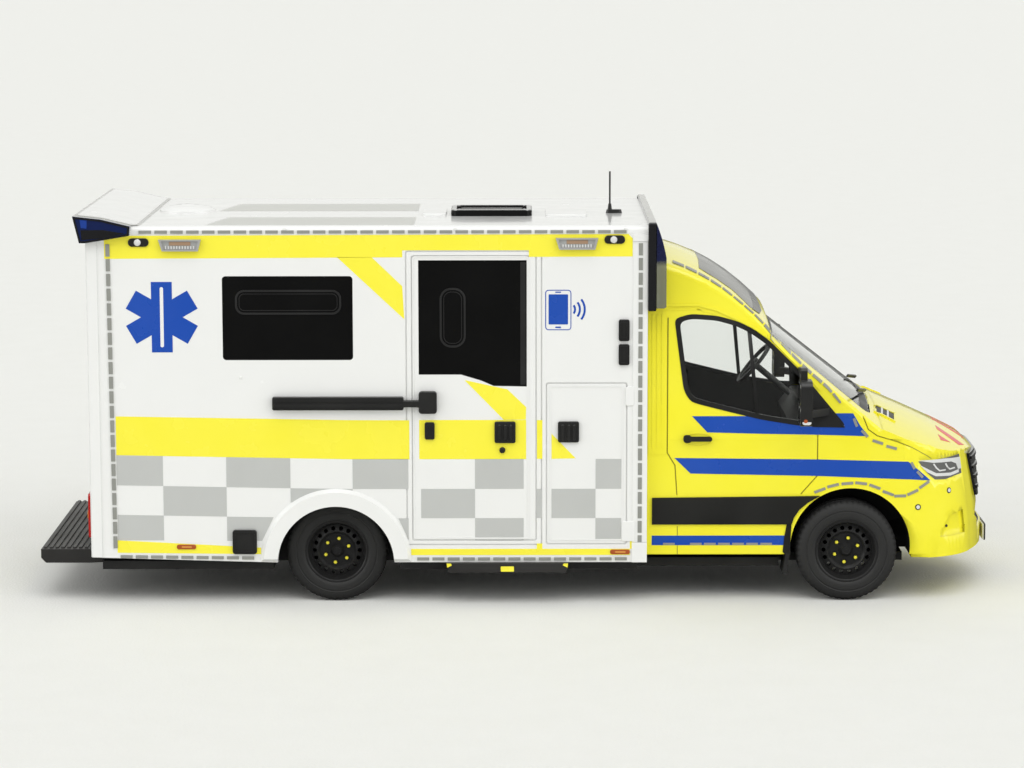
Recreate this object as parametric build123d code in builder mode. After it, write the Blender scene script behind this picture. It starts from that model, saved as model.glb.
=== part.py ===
"""A collector's scale model of a box-bodied ambulance on a van cab and chassis, about 1:43.

Millimetres, +X forward, +Y to the vehicle's left, +Z up. The origin is on the ground, in the
middle of the model's length. Stations along the model are measured forward of the rear axle,
which lies REAR_AXLE_X from the origin: the sketch planes side(), plan() and across() have
their own origin on the ground under that axle. Right-hand pieces are drawn at -Y and mirrored.
"""

import os

from build123d import *

# Running gear
WHEELBASE = 85.2
REAR_AXLE_X = -30.6
TYRE_R = 8.45
TYRE_W = 5.4
TYRE_OUTER = 23.0
RIM_R = 5.25
NUT_ANGLE = 21.0
ROD_R = 0.6
BEARING_GAP = 0.06

# Ambulance box
BOX_REAR = -40.6
BOX_FRONT = 51.7
BOX_HALF = 25.1
BOX_SILL = 7.05
BOX_SILL_REAR = 7.9
ROOF_Z = 63.3
ROOF_T = 1.5
WALL = 1.5
WALL_TOP = ROOF_Z - ROOF_T
WELL_R = 9.7
WELL_Z = 6.9
LINER_R = 10.6
FLARE_R = 12.6
FLARE_OUT = 0.8
GLASS_T = 0.7
GLASS_SET_IN = 0.25
GROOVE = 0.22
GROOVE_DEPTH = 0.25

# Cab
CAB_SKIN = 1.2
CAB_SILL = 7.9
CAB_FRONT = 110.3
PLATE_FRONT = 110.85
CAB_FLOOR = 20.5
CAB_WELL = (85.75, 9.2)
CAB_WELL_R = 10.0
CROWN_AXIS_Z = -70.0
CAB_WELL_INNER = 16.6
SCREEN_TOP = (72.1, 46.1)
SCREEN_FOOT = (90.8, 31.6)
NOSE_LEAN_Z = 12.0
NOSE_LEAN = 0.15
# half width and height of the cab's cross-section, from the sill up to the fairing
CAB_SECTION = [(21.6, 4.0), (22.9, 8.0), (23.4, 13.0), (23.4, 27.5), (23.0, 32.0), (21.2, 49.5), (20.4, 61.0)]

# Base plate
PLATE_Z = 5.6
PLATE_T = 1.4
PLATE_NARROW = 16.4
SCREW_X = (-26.0, 58.0)
SCREW_R = 1.1
CARRIER_HALF = 2.2
CARRIER_TOP = TYRE_R + 2.0

os.makedirs("parts", exist_ok=True)


def side(y=0.0):
    """Plane seen from the vehicle's right: x forward of the rear axle, y up, facing -Y."""
    return Plane(origin=(REAR_AXLE_X, y, 0), x_dir=(1, 0, 0), z_dir=(0, -1, 0))


def plan(z=0.0):
    """Plane seen from above: x forward of the rear axle, y to the left, facing +Z."""
    return Plane(origin=(REAR_AXLE_X, 0, z))


def across(x=0.0):
    """Plane across the vehicle at x forward of the rear axle: x to the left, y up, facing +X."""
    return Plane(origin=(REAR_AXLE_X + x, 0, 0), x_dir=(0, 1, 0), z_dir=(1, 0, 0))


def save(piece, name):
    """Label a finished piece and write it as its own file."""
    piece.part.label = name
    export_step(piece.part, f"parts/{name}.step")


def save_left(right_piece, name):
    """Write the left-hand twin of a right-hand piece."""
    with BuildPart() as twin:
        mirror(right_piece.part, about=Plane.XZ)
    save(twin, name)


def rect(x0, y0, x1, y1, corner=0.0, mode=Mode.ADD):
    """A rectangle from corner to corner on the current sketch plane."""
    with Locations(((x0 + x1) / 2, (y0 + y1) / 2)):
        if corner > 0:
            RectangleRounded(abs(x1 - x0), abs(y1 - y0), corner, mode=mode)
        else:
            Rectangle(abs(x1 - x0), abs(y1 - y0), mode=mode)


def shape(*points, mode=Mode.ADD):
    """A straight-sided closed face on the current sketch plane."""
    Polygon(*points, align=None, mode=mode)


# Wheels: a tyre on a rim with six nuts, two wheels and their rod to each axle
for axle, axle_x in (("front", WHEELBASE), ("rear", 0.0)):
    centre = (REAR_AXLE_X + axle_x, 0, TYRE_R)
    spin = Axis(centre, (0, 1, 0))
    hub = Plane(origin=centre, x_dir=(0, -1, 0), z_dir=(1, 0, 0))
    outer, inner = TYRE_OUTER, TYRE_OUTER - TYRE_W
    with BuildPart() as rod:
        with BuildSketch(side()):
            with Locations((axle_x, TYRE_R)):
                Circle(ROD_R)
        extrude(amount=outer - 2.6, both=True)
    save(rod, f"{axle}_axle_rod")

    with BuildPart() as tyre:
        with BuildSketch(hub):
            shape((inner, RIM_R), (inner - 0.25, RIM_R + 1.3), (inner + 0.15, TYRE_R - 0.6),
                  (inner + 0.75, TYRE_R), (outer - 0.75, TYRE_R), (outer - 0.15, TYRE_R - 0.6),
                  (outer + 0.25, RIM_R + 1.3), (outer, RIM_R))
        revolve(axis=spin)
    save(tyre, f"{axle}_right_tyre")
    save_left(tyre, f"{axle}_left_tyre")

    with BuildPart() as rim:
        with BuildSketch(hub):
            shape((inner + 0.2, RIM_R), (inner + 0.2, RIM_R - 0.5), (outer - 2.3, RIM_R - 0.8),
                  (outer - 2.6, ROD_R), (outer - 2.6, 0), (outer - 0.9, 0), (outer - 0.9, 0.8),
                  (outer - 1.5, 1.25), (outer - 1.5, 2.75), (outer - 1.0, 3.2),
                  (outer - 1.35, RIM_R - 0.9), (outer - 0.1, RIM_R - 0.45), (outer, RIM_R))
        revolve(axis=spin)
        with BuildSketch(side(1.5 - outer)):
            with Locations((axle_x, TYRE_R)):
                with PolarLocations(2.05, 6, start_angle=NUT_ANGLE):
                    RegularPolygon(0.36, 6)
        extrude(amount=0.45)
        with BuildSketch(side(-outer)):
            with Locations((axle_x, TYRE_R)):
                with PolarLocations(3.75, 18):
                    Circle(0.36)
        extrude(amount=-3.0, mode=Mode.SUBTRACT)
    save(rim, f"{axle}_right_rim")
    save_left(rim, f"{axle}_left_rim")

# Base plate: floor, chassis rails, axle carriers, wheel-well liners and two plinth screw bosses
with BuildPart() as base_plate:
    with BuildSketch(plan(PLATE_Z)):
        rect(-39.1, -PLATE_NARROW, 95.2, PLATE_NARROW)
        rect(-39.1, -23.6, -LINER_R, 23.6)
        rect(LINER_R, -23.6, 50.2, 23.6)
        rect(50.2, -21.0, 74.0, 21.0)
    extrude(amount=PLATE_T)
    with BuildSketch(plan(PLATE_Z)):
        for rail_y in (-9.0, 9.0):
            rect(-38.0, rail_y - 1.0, 94.0, rail_y + 1.0)
    extrude(amount=-0.9)
    for axle_x in (0.0, WHEELBASE):
        with BuildSketch(side()):
            rect(axle_x - CARRIER_HALF, PLATE_Z, axle_x + CARRIER_HALF, CARRIER_TOP, 0.6)
        extrude(amount=PLATE_NARROW, both=True)
    with BuildSketch(side(-PLATE_NARROW)):
        with Locations((0.0, WELL_Z)):
            Circle(LINER_R + 0.6)
            Circle(LINER_R, mode=Mode.SUBTRACT)
        rect(-20.0, -20.0, 20.0, PLATE_Z, mode=Mode.SUBTRACT)
    extrude(amount=23.6 - PLATE_NARROW)
    with BuildSketch(side(-PLATE_NARROW + 0.6)):
        with Locations((0.0, WELL_Z)):
            Circle(LINER_R + 0.6)
        rect(-20.0, -20.0, 20.0, PLATE_Z, mode=Mode.SUBTRACT)
    extrude(amount=0.6)
    mirror(about=Plane.XZ)
    with BuildSketch(plan(PLATE_Z + PLATE_T)):
        for screw_x in SCREW_X:
            with Locations((screw_x, 0.0)):
                Circle(2.6)
    extrude(amount=2.2)
    with BuildSketch(plan()):
        for screw_x in SCREW_X:
            with Locations((screw_x, 0.0)):
                Circle(SCREW_R)
    extrude(amount=20.0, mode=Mode.SUBTRACT)
    for axle_x in (0.0, WHEELBASE):
        with BuildSketch(side()):
            with Locations((axle_x, TYRE_R)):
                Circle(ROD_R + BEARING_GAP)
        extrude(amount=30.0, both=True, mode=Mode.SUBTRACT)
save(base_plate, "base_plate")

# Exhaust: silencer box and tail pipe hung under the plate
PIPE_R = 0.6
with BuildPart() as exhaust:
    with BuildSketch(across(-38.5)):
        with Locations((12.5, PLATE_Z - PIPE_R)):
            Circle(PIPE_R)
    extrude(amount=92.0)
    with BuildSketch(across(16.0)):
        rect(10.6, PLATE_Z - 2.0, 14.4, PLATE_Z, 0.7)
    extrude(amount=16.0)
save(exhaust, "exhaust")

# Ambulance box: side walls with wheel arch, flare, engraved doors and window openings
WINDOW = (-18.4, 41.05, 3.1, 55.0)
DOOR = (11.75, 9.95, 34.3, 59.2)
DOOR_LEAF = (12.7, 10.7, 33.4, 58.4)
DOOR_WINDOW = [(13.9, 57.6), (13.9, 38.6), (20.9, 38.6), (24.2, 37.6), (26.3, 36.7), (31.75, 36.6), (31.75, 57.6)]
LOCKER = (34.9, 10.05, 48.4, 37.3)
LEFT_LOCKERS = [(12.0, 10.05, 30.0, 37.3), (34.0, 10.05, 48.4, 58.4)]
FOOT = (49.2, 7.05, 51.7, 10.4)
CAP = (49.2, 60.7, 51.7, 61.8)


def engrave(x0, y0, x1, y1, plane, depth):
    """Cut a fine rectangular line into the face that lies on a plane."""
    with BuildSketch(plane) as line:
        rect(x0, y0, x1, y1, 0.4)
        rect(x0 + GROOVE, y0 + GROOVE, x1 - GROOVE, y1 - GROOVE, 0.2, mode=Mode.SUBTRACT)
    extrude(line.sketch, amount=depth, mode=Mode.SUBTRACT)


def box_wall(panels, openings):
    """A right-hand side wall with its engraved panels and window openings."""
    with BuildPart() as wall:
        with BuildSketch(side(WALL - BOX_HALF)):
            shape((BOX_REAR, BOX_SILL_REAR), (-LINER_R, BOX_SILL), (BOX_FRONT, BOX_SILL),
                  (BOX_FRONT, WALL_TOP), (BOX_REAR, WALL_TOP))
        extrude(amount=WALL)
        with BuildSketch(side(-BOX_HALF)):
            with Locations((0.0, WELL_Z)):
                Circle(FLARE_R)
            rect(-20.0, -20.0, 20.0, BOX_SILL + 0.1, mode=Mode.SUBTRACT)
        extrude(amount=FLARE_OUT, taper=35)
        with BuildSketch(side(-BOX_HALF)):
            rect(*FOOT)
            rect(*CAP)
        extrude(amount=0.25)
        with BuildSketch(side()):
            with Locations((0.0, WELL_Z)):
                Circle(WELL_R)
        extrude(amount=30.0, mode=Mode.SUBTRACT)
        for panel in panels:
            engrave(*panel, side(-BOX_HALF), -GROOVE_DEPTH)
        for opening in openings:
            with BuildSketch(side()):
                add_opening(opening)
            extrude(amount=30.0, mode=Mode.SUBTRACT)
    return wall


def add_opening(opening):
    """Draw a window opening, a rounded rectangle or a shaped outline."""
    if len(opening) == 4:
        rect(*opening, 0.6)
    else:
        shape(*opening)


right_wall = box_wall([DOOR, DOOR_LEAF, LOCKER], [WINDOW, DOOR_WINDOW])
save(right_wall, "box_right_wall")
left_wall = box_wall(LEFT_LOCKERS, [WINDOW])
save_left(left_wall, "box_left_wall")

# Box end walls and roof
REAR_DOORS = [(-19.5, 10.4, -0.15, 59.5), (0.15, 10.4, 19.5, 59.5)]
REAR_WINDOWS = [(-15.6, 41.0, -3.2, 54.5), (3.2, 41.0, 15.6, 54.5)]
with BuildPart() as rear_wall:
    with BuildSketch(across(BOX_REAR)):
        rect(WALL - BOX_HALF, BOX_SILL_REAR, BOX_HALF - WALL, WALL_TOP)
    extrude(amount=WALL)
    for panel in REAR_DOORS:
        engrave(*panel, across(BOX_REAR), GROOVE_DEPTH)
    for opening in REAR_WINDOWS:
        with BuildSketch(across(BOX_REAR)):
            rect(*opening, 0.6)
        extrude(amount=WALL, mode=Mode.SUBTRACT)
save(rear_wall, "box_rear_wall")

with BuildPart() as front_wall:
    with BuildSketch(across(BOX_FRONT - WALL)):
        rect(WALL - BOX_HALF, BOX_SILL, BOX_HALF - WALL, WALL_TOP)
    extrude(amount=WALL)
save(front_wall, "box_front_wall")

with BuildPart() as roof:
    with BuildSketch(across(BOX_REAR)):
        rect(-BOX_HALF, WALL_TOP, BOX_HALF, ROOF_Z)
    extrude(amount=BOX_FRONT - BOX_REAR)
    fillet(roof.edges().filter_by(Axis.X).group_by(Axis.Z)[-1], 1.0)
save(roof, "box_roof")

# Black-glazed box windows, one pane to each opening
with BuildPart() as box_windows:
    with BuildSketch(side(GLASS_SET_IN + GLASS_T - BOX_HALF)):
        add_opening(WINDOW)
        add_opening(DOOR_WINDOW)
    extrude(amount=GLASS_T)
    with BuildSketch(side(BOX_HALF - GLASS_SET_IN)):
        add_opening(WINDOW)
    extrude(amount=GLASS_T)
    with BuildSketch(across(BOX_REAR + GLASS_SET_IN)):
        for opening in REAR_WINDOWS:
            rect(*opening, 0.6)
    extrude(amount=GLASS_T)
save(box_windows, "box_windows")

# Cab: the centre-line profile is turned about a low axis, which crowns the roof, windscreen and
# hood alike, and is then trimmed by the cross-section and by the nose's plan shape


def cab_block(inset):
    """The cab's outer form, or its inner form a given distance inside the skin.

    Roof, windscreen and hood all slope forward, so moving the profile back and down by three
    quarters of the skin's thickness takes each of them in by about that thickness.
    """
    step = 0.75 * inset
    section = [(y - inset, z) for y, z in CAB_SECTION]
    with BuildPart() as block:
        with BuildSketch(Plane(origin=(REAR_AXLE_X - step, 0, -step), x_dir=(1, 0, 0), z_dir=(0, -1, 0))):
            with BuildLine():
                Line((BOX_FRONT, CAB_SILL), (BOX_FRONT, 58.7))
                ThreePointArc((BOX_FRONT, 58.7), (61.8, 55.45), (70.6, 49.1))
                Polyline((70.6, 49.1), (72.0, 47.8), (72.4, 46.8), SCREEN_TOP, SCREEN_FOOT, (91.1, 31.7))
                ThreePointArc((91.1, 31.7), (98.8, 28.45), (106.5, 24.85))
                Polyline((106.5, 24.85), (108.1, 23.5), (108.5, 22.2), (108.5, 15.2), (107.9, 13.5),
                         (108.8, 12.2), (CAB_FRONT, 10.4), (CAB_FRONT, 5.8), (BOX_FRONT, 5.8), (BOX_FRONT, CAB_SILL))
            make_face()
        revolve(axis=Axis((0, 0, CROWN_AXIS_Z), (1, 0, 0)), revolution_arc=20)
        mirror(about=Plane.XZ)
        with BuildSketch(across(40.0)):
            shape(*section, *[(-y, z) for y, z in reversed(section)])
        extrude(amount=90.0, mode=Mode.INTERSECT)
    return block


DOOR_GLASS = [(56.6, 47.2), (59.0, 47.9), (63.3, 47.6), (66.6, 46.7), (69.1, 45.5), (71.8, 43.6), (77.2, 38.3),
              (84.2, 29.9), (80.3, 29.9), (77.2, 30.0), (70.9, 31.0), (65.9, 32.2), (60.7, 33.5), (59.1, 34.0),
              (58.1, 35.7)]
GRILLE = [(-12.3, 23.2), (12.3, 23.2), (10.6, 15.7), (-10.6, 15.7)]
GRILLE_PROUD = 0.45
HEADLAMP = [(96.9, 23.6), (107.0, 23.9), (107.0, 20.6), (103.5, 20.5), (101.9, 20.2), (99.9, 20.35), (98.6, 21.45)]
HEADLAMP_INNER = 16.3
INTAKE = [(-11.5, 12.9), (11.5, 12.9), (10.5, 10.6), (-10.5, 10.6)]
FOG_RECESS = [(102.5, 14.0), (105.2, 14.6), (105.6, 10.6), (100.9, 10.6)]
FOG_INNER = 13.5
FOG_DEPTH = 0.35
SHOULDER_R = 1.4
POST_R = 0.8
INSERT_SET_BACK = 0.35
INSERT_DEPTH = 1.5
GLASS_IN = 0.15
CAB_REAR_PART = 74.2
CABIN_FRONT = 89.0

outer_block = cab_block(0.0)
inner_block = cab_block(CAB_SKIN)
glass_block = cab_block(GLASS_IN)
cut_core = cab_block(GROOVE_DEPTH)
glass_core = cab_block(GLASS_IN + GLASS_T)

with BuildPart() as nose_plan:
    for foot_z, height, lean in ((0.0, NOSE_LEAN_Z, 0.0), (NOSE_LEAN_Z, 60.0, NOSE_LEAN)):
        with BuildSketch(plan(foot_z)):
            with BuildLine():
                Polyline((96.5, 23.4), (93.0, 24.0), (40.0, 24.0), (40.0, -24.0), (93.0, -24.0), (96.5, -23.4))
                ThreePointArc((96.5, -23.4), (103.2, -20.4), (106.9, -15.0))
                ThreePointArc((106.9, -15.0), (CAB_FRONT, 0.0), (106.9, 15.0))
                ThreePointArc((106.9, 15.0), (103.2, 20.4), (96.5, 23.4))
            make_face()
        extrude(amount=height, dir=(-lean, 0, 1))

with BuildPart() as cab_form:
    add(outer_block.part)
    add(nose_plan.part, mode=Mode.INTERSECT)
    shoulders = cab_form.edges().filter_by(GeomType.BSPLINE).filter_by_position(Axis.Z, 52.0, 57.0)
    fillet(shoulders, SHOULDER_R)
    posts = cab_form.edges().filter_by(GeomType.HYPERBOLA).filter_by_position(Axis.Z, 36.0, 40.0)
    fillet(posts, POST_R)
    with BuildSketch(side()):
        shape((40.0, 0.0), (40.0, CAB_SILL), (96.0, CAB_SILL), (96.0, 7.35), (112.0, 7.05), (112.0, 0.0))
    extrude(amount=30.0, both=True, mode=Mode.SUBTRACT)


def form_moved(x, y=0.0):
    """The cab's outer form shifted along and across the model."""
    return cab_form.part.moved(Location((x, y, 0)))


form_back = form_moved(-INSERT_DEPTH)
lamp_core = form_moved(-1.2, 1.0)
fog_core = form_moved(-FOG_DEPTH, FOG_DEPTH)


def nose_insert(outline, proud):
    """A black insert in the nose that stands proud of the surface, or is set back behind it."""
    with BuildPart() as insert:
        with BuildSketch(across(90.0)) as mouth:
            shape(*outline)
        extrude(mouth.sketch, amount=25.0)
        add(form_moved(proud), mode=Mode.INTERSECT)
        add(form_back, mode=Mode.SUBTRACT)
    return insert


grille = nose_insert(GRILLE, GRILLE_PROUD)
save(grille, "grille")
bumper_inserts = nose_insert(INTAKE, -INSERT_SET_BACK)
save(bumper_inserts, "bumper_inserts")

with BuildPart() as nose_recesses:
    with BuildSketch(across(90.0)):
        for points in (GRILLE, INTAKE):
            shape(*points)
    extrude(amount=25.0)
    add(form_back, mode=Mode.SUBTRACT)

with BuildPart() as fog_recesses:
    with BuildSketch(side(-FOG_INNER)):
        shape(*FOG_RECESS)
    extrude(amount=12.0)
    add(fog_core, mode=Mode.SUBTRACT)
    mirror(about=Plane.XZ)

with BuildPart() as headlamps:
    add(cab_form.part)
    with BuildSketch(side(-HEADLAMP_INNER)):
        shape(*HEADLAMP)
    extrude(amount=12.0, mode=Mode.INTERSECT)
    add(lamp_core, mode=Mode.SUBTRACT)
    mirror(about=Plane.XZ)
save(headlamps, "headlamps")

# Windscreen opening, drawn on the screen's own slope
screen_mid = (
    REAR_AXLE_X + (SCREEN_TOP[0] + SCREEN_FOOT[0]) / 2, 0, (SCREEN_TOP[1] + SCREEN_FOOT[1]) / 2,
)
screen_run = SCREEN_FOOT[0] - SCREEN_TOP[0]
screen_drop = SCREEN_TOP[1] - SCREEN_FOOT[1]
SCREEN_PLANE = Plane(origin=screen_mid, x_dir=(0, 1, 0), z_dir=(screen_drop, 0, screen_run))
SCREEN_OPENING = [(-17.6, 11.0), (17.6, 11.0), (20.0, -10.9), (-20.0, -10.9)]
with BuildPart() as windscreen:
    add(glass_block.part)
    add(glass_core.part, mode=Mode.SUBTRACT)
    with BuildSketch(SCREEN_PLANE) as screen_outline:
        shape(*SCREEN_OPENING)
        fillet(screen_outline.vertices(), 1.8)
    extrude(amount=5.0, both=True, mode=Mode.INTERSECT)
save(windscreen, "windscreen")

with BuildPart() as door_windows:
    with BuildSketch(across(50.0)):
        shape(*[(GLASS_IN + GLASS_T - y, z) for y, z in CAB_SECTION],
              *[(GLASS_IN - y, z) for y, z in reversed(CAB_SECTION)])
    extrude(amount=40.0)
    with BuildSketch(side()):
        shape(*DOOR_GLASS)
    extrude(amount=30.0, mode=Mode.INTERSECT)
    mirror(about=Plane.XZ)
save(door_windows, "door_windows")

# Engraved cab lines: door edges, the bonnet's shut line and the sill joint, pressed into the skin
DOOR_CUT = [(55.2, 47.6), (55.1, 25.2), (56.4, 23.05), (56.75, 18.1)]
DOOR_FRONT_CUT = [(80.1, 29.5), (80.1, 21.3), (77.4, 18.2)]
BONNET_CUT = [(87.6, 31.2), (88.5, 29.05), (90.0, 28.0), (93.4, 27.0), (95.85, 26.0), (98.4, 24.5), (99.3, 23.8)]
with BuildPart() as cut_lines:
    with BuildSketch(side()) as cuts:
        for points in (DOOR_CUT, DOOR_FRONT_CUT, BONNET_CUT):
            with BuildLine():
                Polyline(*points)
            trace(line_width=GROOVE)
    extrude(cuts.sketch, amount=30.0, both=True)
    add(cut_core.part, mode=Mode.SUBTRACT)

# Cab shell: hollow cabin, open under the doors, solid hood and nose, a wheel well on each side
with BuildPart() as cabin:
    add(inner_block.part)
    with BuildSketch(side()):
        rect(49.0, 0.0, CAB_REAR_PART, 60.0)
        rect(49.0, CAB_FLOOR, CABIN_FRONT, 60.0)
    extrude(amount=30.0, both=True, mode=Mode.INTERSECT)

with BuildPart() as cab_shell:
    add(cab_form.part)
    add(cabin.part, mode=Mode.SUBTRACT)
    with BuildSketch(side()):
        rect(49.0, 0.0, CAB_REAR_PART, CAB_FLOOR)
    extrude(amount=21.1, both=True, mode=Mode.SUBTRACT)
    with BuildSketch(side()):
        shape(*DOOR_GLASS)
    extrude(amount=30.0, both=True, mode=Mode.SUBTRACT)
    for outer_y in (-CAB_WELL_INNER, CAB_WELL_INNER + 10.0):
        with BuildSketch(side(outer_y)):
            with Locations(CAB_WELL):
                Circle(CAB_WELL_R)
        extrude(amount=10.0, mode=Mode.SUBTRACT)
    with BuildSketch(side()):
        rect(WHEELBASE - CARRIER_HALF - 0.1, 0.0, WHEELBASE + CARRIER_HALF + 0.1, CARRIER_TOP + 0.15)
    extrude(amount=CAB_WELL_INNER + 0.5, both=True, mode=Mode.SUBTRACT)
    extrude(screen_outline.sketch, amount=5.0, both=True, mode=Mode.SUBTRACT)
    for piece in (headlamps, nose_recesses, fog_recesses, cut_lines):
        add(piece.part, mode=Mode.SUBTRACT)
save(cab_shell, "cab_shell")

# Cab interior: floor and bulkhead, seats, dashboard and steering wheel
TUB_T = 0.8
TUB_TOP = CAB_FLOOR + TUB_T
with BuildPart() as cab_interior:
    add(inner_block.part)
    with BuildSketch(side()):
        rect(BOX_FRONT, CAB_FLOOR, BOX_FRONT + TUB_T, 60.0)
        rect(BOX_FRONT, CAB_FLOOR, CABIN_FRONT, TUB_TOP)
    extrude(amount=30.0, both=True, mode=Mode.INTERSECT)
save(cab_interior, "cab_interior")

SEAT_Y = 10.5
with BuildPart() as cab_seats:
    with BuildSketch(side(SEAT_Y + 4.2)):
        shape((54.0, TUB_TOP), (65.0, TUB_TOP), (66.5, 25.5), (66.0, 27.2), (57.5, 26.4), (56.2, 42.5),
              (53.6, 42.9), (53.2, 30.0))
    extrude(amount=8.4)
    mirror(about=Plane.XZ)
save(cab_seats, "cab_seats")

DASH = [(78.0, TUB_TOP), (88.6, TUB_TOP), (87.2, 29.4), (82.5, 30.6), (79.0, 30.2), (76.8, 27.5)]
with BuildPart() as dashboard:
    with BuildSketch(side()):
        shape(*DASH)
    extrude(amount=18.5, both=True)
save(dashboard, "dashboard")

WHEEL_CENTRE = (REAR_AXLE_X + 72.0, 10.0, 35.3)
WHEEL_FACE = Plane(origin=WHEEL_CENTRE, x_dir=(0, 1, 0), z_dir=(-0.77, 0, 0.64))
with BuildPart() as steering_wheel:
    with BuildSketch(WHEEL_FACE):
        Circle(4.3)
        Circle(3.6, mode=Mode.SUBTRACT)
        Rectangle(8.0, 0.7)
        with Locations((0, 1.8)):
            Rectangle(0.7, 3.8)
        Circle(1.1)
    extrude(amount=0.6)
    with BuildSketch(WHEEL_FACE):
        Circle(0.55)
    extrude(amount=-8.0)
    add(dashboard.part, mode=Mode.SUBTRACT)
save(steering_wheel, "steering_wheel")

# Mirrors on two arms from the door's front corner
MIRROR_X = 76.6
with BuildPart() as mirror_right:
    with BuildSketch(across(MIRROR_X)):
        rect(-30.6, 30.6, -25.8, 38.1, 1.2)
    extrude(amount=1.95)
    with BuildSketch(across(MIRROR_X + 0.1)):
        rect(-28.9, 37.0, -26.3, 40.1, 0.6)
    extrude(amount=1.1)
    with BuildSketch(plan(31.4)):
        shape((77.0, -26.2), (78.4, -26.2), (82.6, -22.6), (80.6, -22.6))
    extrude(amount=1.2)
    with BuildSketch(plan(38.6)):
        shape((76.8, -26.8), (77.7, -26.8), (77.7, -22.0), (76.8, -22.0))
    extrude(amount=0.9)
    add(outer_block.part, mode=Mode.SUBTRACT)
save(mirror_right, "mirror_right")
save_left(mirror_right, "mirror_left")

# Wipers parked along the foot of the windscreen
with BuildPart() as wipers:
    with BuildSketch(SCREEN_PLANE.offset(0.1)):
        for foot_y, tip_y in ((-3.0, -17.5), (13.5, -1.0)):
            shape((foot_y, -10.8), (foot_y + 0.6, -10.6), (tip_y + 0.5, -6.9), (tip_y, -7.1))
    extrude(amount=0.5)
save(wipers, "wipers")

# Black side trims along the sill and mudflaps behind the front wheels
with BuildPart() as side_trims:
    with BuildSketch(side(-CAB_SECTION[2][0])):
        shape((52.6, 13.1), (75.9, 13.1), (76.3, 14.3), (77.2, 15.6), (78.6, 16.8), (80.6, 17.9), (52.6, 17.6))
    extrude(amount=0.3)
    mirror(about=Plane.XZ)
save(side_trims, "side_trims")

with BuildPart() as mudflaps:
    with BuildSketch(side(-17.6)):
        shape((74.3, 13.0), (75.0, 13.0), (75.7, 8.0), (75.3, 4.6), (74.5, 4.6), (75.0, 8.0))
    extrude(amount=5.4)
    mirror(about=Plane.XZ)
    add(cab_shell.part, mode=Mode.SUBTRACT)
save(mudflaps, "mudflaps")

with BuildPart() as number_plates:
    with BuildSketch(across(CAB_FRONT)):
        rect(-6.05, 7.1, 6.05, 9.7)
    extrude(amount=PLATE_FRONT - CAB_FRONT)
    with BuildSketch(across(BOX_REAR - 0.3)):
        rect(7.0, 11.2, 19.1, 13.8)
    extrude(amount=0.3)
save(number_plates, "number_plates")

# Light bar over the cab: a black horseshoe panel with a tinted lens on its front
BAR_BASE_T = 1.4
BAR_HALF = 26.0
BAR_FOOT_Z = 49.2
BAR_TOP_Z = 63.8
BAR_INNER_HALF = 21.6
BAR_INNER_Z = 58.9
with BuildPart() as front_light_bar:
    with BuildSketch(across(BOX_FRONT)):
        rect(-BAR_HALF, BAR_FOOT_Z, BAR_HALF, BAR_TOP_Z)
        rect(-BAR_INNER_HALF, 0.0, BAR_INNER_HALF, BAR_INNER_Z, mode=Mode.SUBTRACT)
    extrude(amount=BAR_BASE_T)
save(front_light_bar, "front_light_bar")

LENS_REAR = BOX_FRONT + BAR_BASE_T
with BuildPart() as front_light_lens:
    with BuildSketch(across(LENS_REAR)):
        rect(-BAR_HALF, BAR_FOOT_Z + 0.5, BAR_HALF, BAR_TOP_Z - 0.2)
        rect(-BAR_INNER_HALF, 0.0, BAR_INNER_HALF, BAR_INNER_Z, mode=Mode.SUBTRACT)
    extrude(amount=1.6)
    with BuildSketch(side()):
        with BuildLine():
            Polyline((LENS_REAR, 49.0), (LENS_REAR + 1.6, 49.9), (LENS_REAR + 1.6, 58.0))
            ThreePointArc((LENS_REAR + 1.6, 58.0), (LENS_REAR + 0.9, 61.0), (LENS_REAR, 63.6))
            Line((LENS_REAR, 63.6), (LENS_REAR, 49.0))
        make_face()
    extrude(amount=30.0, both=True, mode=Mode.INTERSECT)
save(front_light_lens, "front_light_lens")

# Rear light bar: a wedge that caps the roof's rear edge, with a tinted lens round its outside
BAR_SIDE = [(-42.65, 65.0), (-38.0, 64.5), (-33.2, 63.35), (-33.4, 61.8), (-37.5, 61.1), (-40.6, 60.6), (-41.6, 60.6)]
BAR_CORE = [(-41.7, 64.3), (-33.2, 62.9), (-33.4, 61.8), (-37.5, 61.1), (-40.6, 60.6)]
REAR_BAR_HALF = 26.4
with BuildPart() as box_block:
    with BuildSketch(side()):
        rect(BOX_REAR, 0.0, BOX_FRONT, ROOF_Z)
    extrude(amount=BOX_HALF, both=True)

with BuildPart() as rear_light_bar:
    with BuildSketch(side()):
        shape(*BAR_SIDE)
    extrude(amount=REAR_BAR_HALF - 0.7, both=True)
    with BuildSketch(side()):
        shape((-50.0, 64.6), (-41.9, 64.3), (-40.8, 60.0), (-50.0, 60.0))
    extrude(amount=30.0, both=True, mode=Mode.SUBTRACT)
    add(box_block.part, mode=Mode.SUBTRACT)
save(rear_light_bar, "rear_light_bar")

with BuildPart() as rear_light_lens:
    with BuildSketch(side()):
        shape(*BAR_SIDE)
    extrude(amount=REAR_BAR_HALF, both=True)
    add(rear_light_bar.part, mode=Mode.SUBTRACT)
    add(box_block.part, mode=Mode.SUBTRACT)
save(rear_light_lens, "rear_light_lens")

# Roof fittings
with BuildPart() as roof_hatch:
    with BuildSketch(plan(ROOF_Z)):
        rect(19.0, -8.8, 32.7, 0.8, 1.2)
    extrude(amount=0.95)
    with BuildSketch(plan(ROOF_Z + 0.95)):
        rect(19.9, -7.9, 31.8, -0.1, 0.8)
    extrude(amount=-0.25, mode=Mode.SUBTRACT)
save(roof_hatch, "roof_hatch")

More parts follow.
